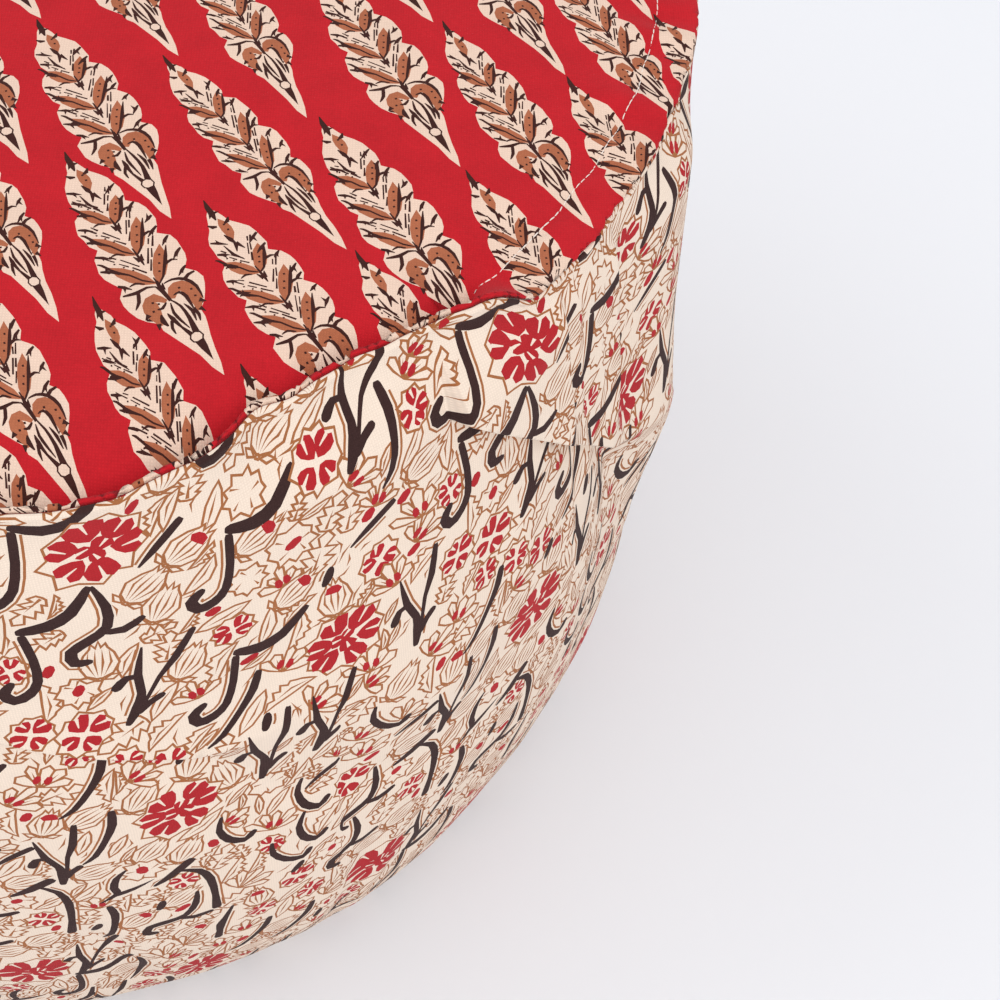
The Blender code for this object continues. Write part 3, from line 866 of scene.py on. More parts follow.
def fan(rng, radius, red, petals=5):
    """A half-open flower seen from its side: long petals that spread from one point."""
    shapes = []
    middle = (petals - 1) / 2
    for k in sorted(range(petals), key=lambda k: -abs(k - middle)):
        a = (k - middle) * 0.52 + rng.uniform(-0.05, 0.05)
        reach = radius * (1.0 - 0.05 * abs(k - middle)) * rng.uniform(0.85, 1.12)
        half = radius * rng.uniform(0.15, 0.22)
        petal = [(0, 0), (reach * 0.45, half * 0.8), (reach * 0.8, half), (reach, 0),
                 (reach * 0.8, -half), (reach * 0.45, -half * 0.8)]
        shapes += placed(outlined(petal), (0, 0), a)
        if k % 2:
            shapes.append(mark(on_ray(reach * 0.35, a), on_ray(reach * 0.72, a), 0.7))
    if red:
        for a in (-0.45, 0.45):
            x, y = on_ray(radius * 0.3, a)
            shapes.append((BRIGHT, [(x + dx, y + dy) for dx, dy in DROP]))
    return shapes


DAB = [(0, -0.25), (0.2, -0.5), (0.7, -0.48), (0.95, -0.2), (1.0, 0.15), (0.8, 0.48), (0.3, 0.5), (0.05, 0.2)]


def dab(rng, length=5.4, width=3.1):
    """A small round red mark."""
    long, broad = length * rng.uniform(0.8, 1.2), width * rng.uniform(0.85, 1.15)
    return [(BRIGHT, [(long * x, broad * y) for x, y in DAB])]


# A notched petal, as shares of its half length and half breadth
PETAL = [(-0.9, 0.0), (-0.55, 0.5), (0.0, 0.92), (0.55, 0.95), (0.95, 0.5), (0.66, 0.04),
         (1.0, -0.42), (0.6, -0.96), (0.05, -0.9), (-0.5, -0.55)]


# Rings of petals: how many, and as shares of the radius their place, length and breadth
FULL_RINGS = [(6, 0.62, 0.4, 0.46), (3, 0.16, 0.24, 0.26)]
SMALL_RINGS = [(4, 0.52, 0.42, 0.52)]


def rosette(rng, radius):
    """A full red flower: notched petals crowded round a few small ones, parted by narrow pale gaps."""
    shapes = torn_rim(rng, radius, (1.08, 1.25), (0.92, 1.02), 0.35, 0.15)
    for petals, middle, deep, wide in FULL_RINGS if radius > 10 else SMALL_RINGS:
        for k in range(petals):
            a = 2 * math.pi * (k + rng.uniform(-0.14, 0.14)) / petals + middle * 2
            long, broad = radius * deep * rng.uniform(0.8, 1.15), radius * wide * rng.uniform(0.72, 0.95)
            petal = [(long * x, broad * y * rng.uniform(0.85, 1.1)) for x, y in PETAL]
            vein = stroke([(long * 0.75, 0), (-long * 0.2, rng.uniform(-1, 1))], (1.1, 0.35), 1)
            shapes += placed([(BRIGHT, petal), (GROUND, vein)], on_ray(radius * middle, a), a)
    return [(ink, [(x * 1.1, y * 0.9) for x, y in outline]) for ink, outline in shapes]


def scroll(strokes, side, gap=1.0):
    """A black brush scroll with a thin brown line along one side of its first stroke."""
    points, widths = strokes[0]
    line = smooth([(x, y, width) for (x, y), width in zip(points, widths)], 2)
    run = beside(line, lambda width: side * (width / 2 + gap))[1:]
    shapes = [(BROWN, stroke(run, [LINE] * len(run), 1))]
    return shapes + [(BLACK, brush(points, widths)) for points, widths in strokes]


def inside(outline, places):
    """Which places lie inside an outline, which may run over itself."""
    a, b = np.array(outline), np.roll(outline, -1, axis=0)
    x, y = places[:, :1], places[:, 1:]
    side = (b[:, 0] - a[:, 0]) * (y - a[:, 1]) - (x - a[:, 0]) * (b[:, 1] - a[:, 1])
    up = (a[:, 1] <= y) & (b[:, 1] > y) & (side > 0)
    down = (a[:, 1] > y) & (b[:, 1] <= y) & (side < 0)
    return up.sum(axis=1) != down.sum(axis=1)


class Repeat:
    """One repeat of the side print, laid out motif by motif where there is room."""
    CELL = 0.7
    BELOW = 30      # spare rows of cells under the cloth's edge
    REACH = 48.0    # no motif reaches further than this

    def __init__(self):
        self.columns = round(SIDE_TILE / self.CELL)
        self.taken = np.zeros((int(SIDE_TALL / self.CELL) + 2 * self.BELOW, self.columns), bool)
        self.layers = []

    def cells(self, motif, x, y, turn, mirror):
        rows, columns = [], []
        c, s = math.cos(turn), math.sin(turn)
        for _, outline in motif:
            low, high = np.min(outline, axis=0), np.max(outline, axis=0)
            gx, gy = np.meshgrid(*(np.arange(a, b + self.CELL, self.CELL) for a, b in zip(low, high)))
            grid = np.stack([gx.ravel(), gy.ravel()], axis=1)
            px, py = grid[inside(outline, grid)].T
            py = py * mirror
            column = np.floor((x + c * px - s * py) / SIDE_TILE * self.columns).astype(int)
            row = np.floor((y + s * px + c * py) / self.CELL).astype(int) + self.BELOW
            columns.append(column % self.columns)
            rows.append(np.clip(row, 0, len(self.taken) - 1))
        return np.concatenate(rows), np.concatenate(columns)

    def put(self, motif, x, y, turn, mirror=1, room=1.0):
        """Lays a motif down unless more than this share of its place is taken."""
        cells = self.cells(motif, x, y, turn, mirror)
        if self.taken[cells].mean() > room:
            return False
        self.taken[cells] = True
        self.layers.append((motif, x, y, turn, mirror))
        return True

    def shapes(self):
        """All outlines, the motifs laid first on top, with what reaches in from the repeats beside."""
        return [
            shape
            for motif, x, y, turn, mirror in reversed(self.layers)
            for shift in (-SIDE_TILE, 0, SIDE_TILE)
            if -self.REACH < x + shift < SIDE_TILE + self.REACH
            for shape in placed(motif, (x + shift, y), turn, mirror)
        ]


def flower_print():
    """One repeat of the side print: red flowers, black scrolls, brown outlined buds and leaves."""
    rng = random.Random(11)
    repeat = Repeat()
    for x, y, radius, turn in ROSETTES:
        repeat.put(rosette(rng, radius), x, y, turn)
    starts = []
    half = SIDE_TILE / 2
    for _ in range(SCROLL_TRIES):
        strokes = SCROLLS[rng.randrange(SCROLL_LARGE if len(starts) < 3 * SCROLL_LARGE else len(SCROLLS))]
        turn = math.radians(rng.uniform(-SCROLL_SWING, SCROLL_SWING))
        x, y = rng.uniform(0, SIDE_TILE), rng.uniform(-8, SIDE_TALL + 5)
        apart = [math.hypot((x - a + half) % SIDE_TILE - half, (y - b) * 0.8) for a, b in starts]
        if min(apart, default=SCROLL_APART) < SCROLL_APART or len(starts) == SCROLL_COUNT:
            continue
        if repeat.put(scroll(strokes, rng.choice((1, -1))), x, y, turn, room=0.03):
            starts.append((x, y))

    def scatter(tries, motif_at, turns, spread, room):
        """Tries to place motifs: turned to about one of the turns, and with so much of their place taken."""
        for k in range(tries):
            x, y = rng.uniform(0, SIDE_TILE), rng.uniform(-5, SIDE_TALL)
            turn = math.radians(rng.choice(turns) + rng.uniform(-spread, spread))
            repeat.put(motif_at(k / tries), x, y, turn, rng.choice((1, -1)), room)

    def blossom(_):
        kind = rng.random()
        if kind < 0.36:
            return bud(rng.random() < 0.4)
        if kind < 0.74:
            return fan(rng, rng.uniform(9.5, 13), rng.random() < 0.8)
        if kind < 0.87:
            return ragged_flower(rng, rng.uniform(5.5, 8), rng.random() < 0.5)
        return rosette(rng, rng.uniform(5.2, 6.8))

    def foliage(share):
        size = rng.uniform(0.8, 1.1) * (1 if share < 0.5 else 0.7)
        kind = rng.random()
        if kind < 0.4:
            return toothed_leaf(rng, 15 * size, 10.5 * size)
        if kind < 0.7:
            return flame_leaf(rng, 18 * size, 6.4 * size)
        return long_leaf(rng, 18 * size, 5.8 * size)

    def crumb(_):
        if rng.random() < 0.4:
            return dab(rng)
        return [rib((0, 0), (rng.uniform(4.5, 9.5), 0), rng.uniform(0.6, 1.6), 0.8)]

    scatter(700, blossom, turns=(60,), spread=45, room=0.12)
    scatter(3400, foliage, turns=(60, 68, 50, 80, 35, 240, 215), spread=20, room=0.13)
    scatter(1300, crumb, turns=(60,), spread=40, room=0.06)
    return repeat.shapes()


# Printed cloth as triangles

MERGE = 1e-4            # places this near are one, in mm
EVEN = 0.065            # a border's bends under this are left out, in mm
EDGE_EVEN = 0.003       # and along the cloth's edge
REFINE_ROUNDS = 3       # times that an edge is halved where the form bends
SIDE_BOW = 0.00007      # how far the side's form may leave a straight edge, in metres
CHUNK = 5000            # places tested at a time, to save memory


def doubled_areas(places, faces):
    """Twice each triangle's area, below 0 where it is turned over."""
    a, b, c = (places[faces[:, k]] for k in range(3))
    return (b[:, 0] - a[:, 0]) * (c[:, 1] - a[:, 1]) - (c[:, 0] - a[:, 0]) * (b[:, 1] - a[:, 1])


def triangulated(points, edges, near=MERGE, traced=False):
    """Triangles over all the points that keep these edges and, if traced, which points each place was."""
    result = delaunay_2d_cdt([Vector(point) for point in points], edges, [], 0, near, traced)
    places, faces = np.array([tuple(place) for place in result[0]]), np.array(result[2])
    over = doubled_areas(places, faces) < 0
    faces[over] = faces[over][:, ::-1]
    return places, faces, result[3]


def ring_of(count, first=0):
    """The edges round a loop of this many points."""
    return [(first + k, first + (k + 1) % count) for k in range(count)]


def sides_of(faces):
    """The edges of triangles, as pairs of point numbers in order."""
    return np.sort(np.concatenate([faces[:, [0, 1]], faces[:, [1, 2]], faces[:, [2, 0]]]), axis=1)


def inked(centres, loop, shapes):
    """The ink at each place, as the last shape printed there leaves it, and NOWHERE outside the cloth."""
    ink = np.full(len(centres), GROUND)
    order = np.argsort(centres[:, 0])
    across = centres[order, 0]
    for shade, outline in shapes:
        low, high = np.min(outline, axis=0), np.max(outline, axis=0)
        near = order[np.searchsorted(across, low[0]):np.searchsorted(across, high[0])]
        near = near[(centres[near, 1] > low[1]) & (centres[near, 1] < high[1])]
        if len(near):
            ink[near[inside(outline, centres[near])]] = shade
    for chunk in np.array_split(np.arange(len(centres)), len(centres) // CHUNK + 1):
        ink[chunk[~inside(loop, centres[chunk])]] = NOWHERE
    return ink


def borders(faces, ink):
    """The edges between different inks, and whether each lies along the cloth's edge."""
    edges = sides_of(faces)
    inks = np.tile(ink, 3)
    order = np.lexsort((edges[:, 1], edges[:, 0]))
    edges, inks = edges[order], inks[order]
    first = np.nonzero((edges[1:] == edges[:-1]).all(axis=1))[0]
    parted = first[inks[first] != inks[first + 1]]
    return edges[parted], np.minimum(inks[parted], inks[parted + 1]) == NOWHERE


def evened(places, edges, at_edge):
    """Borders without the points where they hardly bend."""
    beside_point = {}
    for (a, b), outer in zip(edges.tolist(), at_edge.tolist()):
        beside_point.setdefault(a, {})[b] = outer
        beside_point.setdefault(b, {})[a] = outer
    xy = places.tolist()
    for _ in range(2):
        settled = set()
        for point in sorted(beside_point):
            nearby = beside_point[point]
            if len(nearby) != 2 or point in settled:
                continue
            (a, outer), (b, outer_too) = nearby.items()
            if b in beside_point[a] or outer != outer_too:
                continue
            (x, y), (ax, ay), (bx, by) = xy[point], xy[a], xy[b]
            size = math.hypot(bx - ax, by - ay)
            bend = abs((bx - ax) * (y - ay) - (x - ax) * (by - ay)) / max(size, MERGE)
            if bend < (EDGE_EVEN if outer else EVEN):
                del beside_point[point], beside_point[a][point], beside_point[b][point]
                beside_point[a][b] = beside_point[b][a] = outer
                settled.update((a, b))
    kept = sorted(beside_point)
    number = {point: k for k, point in enumerate(kept)}
    return places[kept], [(number[a], number[b]) for a in kept for b in beside_point[a] if a < b]


def spaced(spots, points, room):
    """Those spots with no point about that near."""
    taken = {(round(x / room), round(y / room)) for x, y in points}
    around = [(i, j) for i in (-1, 0, 1) for j in (-1, 0, 1)]
    return [
        (x, y) for x, y in spots
        if not any((round(x / room) + i, round(y / room) + j) in taken for i, j in around)
    ]


def printed(loop, shapes, spots, room, tied=None):
    """Flat cloth inside a loop: places, triangles and each triangle's ink.

    Spots are spare places, kept where no border is within about this room; tied mends the borders' places.
    """
    points, edges = [], []
    for outline in [loop] + [outline for _, outline in shapes]:
        edges += ring_of(len(outline), len(points))
        points += outline
    places, faces, _ = triangulated(points, edges)
    ink = inked(places[faces].mean(axis=1), loop, shapes)
    kept, lines = evened(places, *borders(faces, ink))
    if tied:
        kept = tied(kept)
    places, faces, _ = triangulated(kept.tolist() + spaced(spots, kept.tolist(), room), lines)
    return places, faces, inked(places[faces].mean(axis=1), loop, shapes)


def filled(loop, spots=()):
    """Triangles inside a plain loop; the spots are numbered after the loop's places."""
    places, faces, sources = triangulated([*loop, *spots], ring_of(len(loop)), MERGE * MM, True)
    if len(sources) != len(loop) + len(spots):
        raise RuntimeError("a loop runs over itself")
    faces = faces[doubled_areas(places, faces) > 0]
    first = np.array([ids[0] for ids in sources])
    return first[faces[inside(loop, places[faces].mean(axis=1))]]


def refined(places, faces, ink, lift, bow):
    """Flat cloth with its edges split wherever the form leaves the straight line by more than bow."""
    tried = 0
    on_form = lift(*places.T)
    for _ in range(REFINE_ROUNDS):
        edges, edge_of = np.unique(sides_of(faces), axis=0, return_inverse=True)
        fresh = np.nonzero(edges[:, 1] >= tried)[0]
        middles = places[edges[fresh]].mean(axis=1)
        bent = lift(*middles.T)
        split = np.linalg.norm(bent - on_form[edges[fresh]].mean(axis=1), axis=1) > bow
        tried = len(places)
        number = np.full(len(edges), -1)
        number[fresh[split]] = tried + np.arange(split.sum())
        places = np.concatenate([places, middles[split]])
        on_form = np.concatenate([on_form, bent[split]])
        new = number[edge_of.reshape(3, -1).T]
        count = (new >= 0).sum(axis=1)
        # Each triangle is turned so that its split sides come first
        first = np.where(count == 1, (new >= 0).argmax(axis=1), (new < 0).argmax(axis=1) + 1)
        order = (first[:, None] + np.arange(3)) % 3
        (a, b, c), (ab, bc, ca) = (np.take_along_axis(ids, order, axis=1).T for ids in (faces, new))
        parts, inks = [], []
        by_splits = [
            [(a, b, c)],
            [(a, ab, c), (ab, b, c)],
            [(ab, b, bc), (a, ab, bc), (a, bc, c)],
            [(a, ab, ca), (ab, b, bc), (ca, bc, c), (ab, bc, ca)],
        ]
        for splits, triangles in enumerate(by_splits):
            for triangle in triangles:
                parts.append(np.stack(triangle, axis=1)[count == splits])
                inks.append(ink[count == splits])
        faces, ink = np.concatenate(parts), np.concatenate(inks)
    return places, faces, ink


def stood_up(name, mesh):
    """A piece in the scene with this mesh."""
    piece = bpy.data.objects.new(name, mesh)
    bpy.context.scene.collection.objects.link(piece)
    return piece


class Shell:
    """A closed shell, put together from patches that share the points of their edges."""

    def __init__(self):
        self.places, self.normals, self.faces, self.inks, self.cloth, self.bake = [], [], [], [], [], []
        self.count = 0

    def points(self, places, normals):
        self.places.append(places)
        self.normals.append(np.broadcast_to(normals, places.shape))
        self.count += len(places)
        return np.arange(self.count - len(places), self.count)

    def patch(self, faces, ink, cloth, bake):
        """Faces by point number, with their inks and their corners' places on the cloth and the bake."""
        self.faces.append(faces)
        self.inks.append(np.broadcast_to(ink, len(faces)))
        self.cloth.append(cloth)
        self.bake.append(bake)

    def make(self, name, materials):
        faces = np.concatenate(self.faces)
        used, numbered = np.unique(faces, return_inverse=True)
        places = np.concatenate(self.places)[used]
        mesh = bpy.data.meshes.new(name)
        mesh.from_pydata(places.tolist(), [], numbered.reshape(-1, 3).tolist())
        for material in materials:
            mesh.materials.append(material)
        mesh.polygons.foreach_set("material_index", np.concatenate(self.inks).astype(np.int32))
        for layer, corners in (("OFBake", self.bake), ("Cloth", self.cloth)):
            uv = mesh.uv_layers.new(name=layer)
            uv.uv.foreach_set("vector", np.concatenate(corners).astype(np.float32).ravel())
        mesh.uv_layers["OFBake"].active_render = True
        mesh.shade_smooth()
        mesh.normals_split_custom_set_from_vertices(np.concatenate(self.normals)[used].tolist())
        mesh.validate()
        return stood_up(name, mesh)


def lifted(lift, places, step=0.35):
    """Places of flat cloth on its form, with their normals."""
    x, y = places.T
    along_x = lift(x + step, y) - lift(x - step, y)
    along_y = lift(x, y + step) - lift(x, y - step)
    normals = np.cross(along_x, along_y)
    return lift(x, y), normals / np.linalg.norm(normals, axis=1, keepdims=True)


def gathered(turn, height):
    """Turns moved towards the upright folds, where the cloth is pushed together."""
    moved = turn
    for fold, low, high, taken, run in GATHERS:
        across = np.radians(turned(turn, fold)) * RIM_RADIUS
        pull = ease(across / run + 0.5) - ease(across / (2 * GATHER_BACK) + 0.5)
        moved = moved - np.degrees(taken * between(height, low, high, 0.5) * pull / RIM_RADIUS)
    return moved


def stretched(length, even, flat, real):
    """A length along flat cloth; past an even part, the rest of it is stretched from flat to real."""
    share = (length - even) / (flat - even)
    return np.where(share > 0, even + share * (real - even), length)


def side_lift(x, w):
    """A place of the side's flat print, in mm, on the pouf."""
    turn = gathered(SIDE_START + np.degrees(x * MM / RIM_RADIUS), w * MM)
    return stood(turn, *side_line(turn, stretched(w * MM, SIDE_EVEN, SIDE_TALL * MM, crest_length(turn))))


def top_lift(x, y):
    """A place of the top's flat print, in mm, on the pouf."""
    turn, rho = np.degrees(np.arctan2(y, x)), np.hypot(x, y) * MM
    return stood(turn, *top_line(turn, stretched(rho, TOP_EVEN, TOP_FLAT * MM, rho_crest(turn) + FOLD)))


def under_lift(x, y, depth):
    """A place under the top panel, on a disc that ends at the flange's crest."""
    turn, rho = np.degrees(np.arctan2(y, x)), np.hypot(x, y) / TOP_FLAT
    return stood(turn, *under_panel(turn, rho * rho_crest(turn), depth))


# Rows of the hidden faces under the top panel, as shares of its radius, and the steps round them
UNDER_ROWS = [(0.984, 180), (0.966, 180), (0.95, 150), (0.932, 120), (0.9, 90), (0.84, 72), (0.74, 60),
              (0.6, 48), (0.42, 36), (0.22, 24)]
UNDER_CLEAR = 2.0       # degrees between those rows and an upright face
SEAM_SHARES = np.array([share for share, _ in UNDER_ROWS])
FOOT_SHARES = np.array([0.8, 0.4])


def under_spots(start, stop):
    """Places on those rows between two turns, clear of both unless they meet."""
    around = stop - start >= 360
    spots = [(0.0, 0.0)] if around else []
    for share, steps in UNDER_ROWS:
        turns = 360 * (np.arange(steps) + 0.5) / steps
        into = (turns - start) % 360
        turns = turns if around else turns[(into > UNDER_CLEAR) & (into < stop - start - UNDER_CLEAR)]
        spots += stood(turns, share * TOP_FLAT + 0 * turns, 0 * turns)[:, :2].tolist()
    return np.array(spots)


SIDE_SPAN = 530.0       # mm of cloth across a side piece's baked picture
TOP_SPAN = 512.0        # and across the top's
TINY = 0.04             # share of the baked picture that a hidden face gets
TINY_AT = 0.95          # where the first of them lies
TINY_STEP = 0.05


def tiny_bake(flat, column):
    """Where a hidden face goes in the baked picture: small, in a row along its top right."""
    low, high = flat.reshape(-1, 2).min(axis=0), flat.reshape(-1, 2).max(axis=0)
    return (flat - low) / (high - low).max() * TINY + (TINY_AT - TINY_STEP * column, TINY_AT)


AT_SIDE = 3 * MERGE     # places this near a side of a repeat lie on it
MEET = 0.05             # and borders that reach both sides this near meet, in mm


def tied_sides(kept):
    """Makes the print's borders leave one side of a repeat where they enter the other."""
    left, right = (np.nonzero(np.abs(kept[:, 0] - x) < AT_SIDE)[0] for x in (0.0, SIDE_TILE))
    kept[left, 0] = 0.0
    kept[right, 0] = SIDE_TILE
    apart = np.abs(kept[left, 1][:, None] - kept[right, 1])
    met = apart.min(axis=0) < MEET
    kept[right[met], 1] = kept[left[apart.argmin(axis=0)[met]], 1]
    ups_left, ups_right = (set(kept[side, 1].tolist()) for side in (left, right))
    more = [(0.0, up) for up in sorted(ups_right - ups_left)]
    more += [(SIDE_TILE, up) for up in sorted(ups_left - ups_right)]
    return np.concatenate([kept, np.reshape(more, (-1, 2))])


EDGE_ACROSS = 32        # steps along the foot and the crest of one repeat
EDGE_UP = 60            # and up its sides
SPOTS_ACROSS = 30       # spare places in each row


def flower_cloth():
    """One flat repeat of the side print: places, triangles, inks."""
    foot = FOOT / MM
    corners = [(0.0, foot), (SIDE_TILE, foot), (SIDE_TILE, SIDE_TALL), (0.0, SIDE_TALL)]
    loop = []
    for k, ((ax, ay), (bx, by)) in enumerate(zip(corners, corners[1:] + corners[:1])):
        steps = EDGE_UP if k % 2 else EDGE_ACROSS
        loop += [(ax + (bx - ax) * step / steps, ay + (by - ay) * step / steps) for step in range(steps)]
    # Rows of spare places, closer where the cloth bends over the shoulder
    rows = [*np.arange(foot + 2.5, 286, 4.2), *np.arange(288, SIDE_TALL - 1, 2.4)]
    spots = [
        (SIDE_TILE * (k + 0.5 + 0.25 * (-1) ** row) / SPOTS_ACROSS, float(up))
        for row, up in enumerate(rows) for k in range(SPOTS_ACROSS)
    ]
    return printed(loop, flower_print(), spots, room=1.1, tied=tied_sides)


def side_wedge(name, start, tiles, repeat, materials):
    """A wedge of the filled side band, closed all round: wall, hidden top and foot, and two upright faces."""
    places, faces, ink = repeat
    first = (start - SIDE_START) / 360 * SIDE_TILES * SIDE_TILE
    places[np.abs(places[:, 0] - SIDE_TILE) < AT_SIDE, 0] = SIDE_TILE
    rows = np.concatenate([places + (tile * SIDE_TILE, 0) for tile in range(tiles)])
    # Repeats share the places where they meet
    rows, same = np.unique(rows.round(6), axis=0, return_inverse=True)
    faces = np.concatenate([same.ravel()[faces + tile * len(places)] for tile in range(tiles)])
    places, faces, ink = refined(rows + (first, 0), faces, np.tile(ink, tiles), side_lift, SIDE_BOW)
    lines = []
    for across, at in ((1, 0), (0, 0), (1, -1), (0, -1)):
        # The wedge's left side, foot, right side and crest, each in order
        level = places[:, 1 - across]
        line = np.nonzero(level == np.unique(level)[at])[0]
        lines.append(line[np.argsort(places[line, across])])
    left, foot_line, right, crest_line = (line.tolist() for line in lines)

    shell = Shell()
    shell.points(*lifted(side_lift, places))
    corners = places[faces]
    shell.patch(faces, ink, corners * MM, (corners - (first, 0)) / SIDE_SPAN)

    def close(ids, flat, spots, spot_places, normal, column, turned_over=False):
        """Fills a loop of points with hidden cloth of the ground's colour."""
        more = shell.points(spot_places, normal) if spots else np.array([], int)
        triangles = filled([tuple(point) for point in flat], spots)
        if turned_over:
            triangles = triangles[:, ::-1]
        corners = np.array([*flat, *spots])[triangles]
        shell.patch(np.array([*ids, *more])[triangles], GROUND, corners, tiny_bake(corners, column))

    # Points where the hidden faces meet, on both upright faces and on the axis
    stop = start + tiles * 360 / SIDE_TILES
    ways = [stood(np.array(turn), 1.0, 0.0) for turn in (start, stop)]
    seams, foot_seams = [], []
    for way in ways:
        out = SEAM_SHARES[:, None] * TOP_FLAT * way
        seams.append(shell.points(under_lift(out[:, 0], out[:, 1], CLOTH + GAP), (0, 0, 1)).tolist())
        foot_out = FOOT_SHARES[:, None] * BASE_RADIUS * way
        foot_seams.append(shell.points(foot_out + (0, 0, FOOT), (0, 0, -1)).tolist())
    top_middle, = shell.points(under_lift(np.zeros(1), np.zeros(1), CLOTH + GAP), (0, 0, 1)).tolist()
    foot_middle, = shell.points(np.array([[0, 0, FOOT]]), (0, 0, -1)).tolist()

    def on_disc(ids, radius=None):
        """Points seen from above, or pushed out to a radius."""
        xy = np.concatenate(shell.places)[ids][:, :2]
        return xy if radius is None else xy / np.linalg.norm(xy, axis=1, keepdims=True) * radius

    disc = TOP_FLAT * MM
    flat_seams = [SEAM_SHARES[:, None] * disc * way[:2] for way in ways]
    spots = under_spots(start, stop)
    close(crest_line + seams[1] + [top_middle] + seams[0][::-1],
          [*on_disc(crest_line, disc), *flat_seams[1], (0.0, 0.0), *flat_seams[0][::-1]],
          (spots * MM).tolist(), under_lift(*spots.T, CLOTH + GAP), (0, 0, 1), 0)
    ids = foot_line + foot_seams[1] + [foot_middle] + foot_seams[0][::-1]
    close(ids, on_disc(ids), [], None, (0, 0, -1), 1, True)
    for k, line in enumerate((left, right)):
        ids = line + seams[k] + [top_middle, foot_middle] + foot_seams[k][::-1]
        every = np.concatenate(shell.places)[ids]
        close(ids, np.stack([every @ ways[k], every[:, 2]], axis=1), [], None, None, 2 + k, k == 1)
    return shell.make(name, materials)


TOP_STEPS = 620         # steps round the top cloth's edge
# Spare places in rows that follow the stitching and the crest: mm outside the stitching
RIM_ROWS = [-12, -8.5, -6, -4, -2.4, -1.2, -0.4, 0.4, 1.2, 2.6, 4.4, 6.4, 8.6, 10.6, 12.4, 13.3, 14.3]
RIM_SPOTS = 520         # in each row
CROWN_STEP = 5.5        # and in a square grid on the crown, in mm
CROWN_SPOTS = 224.0     # out to this radius


def leaf_cloth():
    """The flat print of the top panel: places, triangles, inks."""
    loop = [on_ray(TOP_FLAT, 2 * math.pi * k / TOP_STEPS) for k in range(TOP_STEPS)]
    spots = []
    span = TOP_FLAT * MM - TOP_EVEN
    for row, past in enumerate(RIM_ROWS):
        turns = 360 * (np.arange(RIM_SPOTS) + 0.5 * (row % 2)) / RIM_SPOTS
        rho = rim(turns)[2][0] + past * MM
        rho = TOP_EVEN + (rho - TOP_EVEN) * span / (rho_crest(turns) + FOLD - TOP_EVEN)
        spots += (stood(turns, rho, 0 * rho)[:, :2] / MM).tolist()
    for x in np.arange(-TOP_FLAT, TOP_FLAT, CROWN_STEP):
        for y in np.arange(-TOP_FLAT, TOP_FLAT, CROWN_STEP):
            if math.hypot(x, y) < CROWN_SPOTS:
                spots.append((float(x), float(y)))
    return printed(loop, leaf_print(), spots, room=0.9)


def top_sheet(name, materials):
    """The top panel as one closed sheet: printed face, folded edge, plain underside."""
    places, faces, ink = leaf_cloth()
    shell = Shell()
    ids = shell.points(*lifted(top_lift, places))
    corners = places[faces]
    shell.patch(ids[faces], ink, corners * MM, corners / TOP_SPAN + 0.5)
    edge = np.nonzero(np.hypot(*places.T) > TOP_FLAT - 0.01)[0]
    edge = edge[np.argsort(np.arctan2(places[edge, 1], places[edge, 0]))]
    spots = under_spots(0, 360)
    more = shell.points(under_lift(*spots.T, CLOTH), (0, 0, -1))
    flat = np.concatenate([places[edge], spots])
    triangles = filled([tuple(p) for p in places[edge] * MM], (spots * MM).tolist())[:, ::-1]
    corners = flat[triangles]
    shell.patch(np.concatenate([ids[edge], more])[triangles], GROUND, corners * MM, tiny_bake(corners, 0))
    return shell.make(name, materials)


# Materials

def linear(colour):
    """An sRGB hex colour such as C8202B as linear red, green and blue."""
    shares = [int(colour[k:k + 2], 16) / 255 for k in (0, 2, 4)]
    return tuple(s / 12.92 if s <= 0.04045 else ((s + 0.055) / 1.055) ** 2.4 for s in shares)


WAVE_SCALE = 0.314      # a wave texture of this scale has bands one unit apart


def set_inputs(node, values):
    """Sets a node's inputs, by name or number, or links them to another node's output."""
    for key, value in values.items():
        if isinstance(value, bpy.types.NodeSocket):
            node.id_data.links.new(value, node.inputs[key])
        else:
            node.inputs[key].default_value = value


def add(tree, kind, values=(), **settings):
    """A shader node with its settings and its inputs' values or links."""
    node = tree.nodes.new(kind)
    for name, value in settings.items():
        setattr(node, name, value)
    set_inputs(node, dict(values))
    return node


def new_material(name):
    """A material with its tree and its shader, which is no metal."""
    material = bpy.data.materials.new(name)
    material.use_nodes = True
    shader = material.node_tree.nodes["Principled BSDF"]
    set_inputs(shader, {"Metallic": 0.0})
    return material, material.node_tree, shader


def shade_of(colour, share=1.0):
    """A colour for a socket, made darker or lighter."""
    return (*(value * share for value in colour), 1.0)


def weave_of(tree, place, pitch, ripple):
    """Height of a plain weave: bands of thread both ways, this far apart on the place's own scale."""
    warp, weft = (
        add(tree, "ShaderNodeTexWave", {"Vector": place, "Scale": WAVE_SCALE / pitch, **ripple},
            bands_direction=direction).outputs["Fac"]
        for direction in ("X", "Y")
    )
    return add(tree, "ShaderNodeMath", {0: warp, 1: weft}, operation="MULTIPLY").outputs[0]


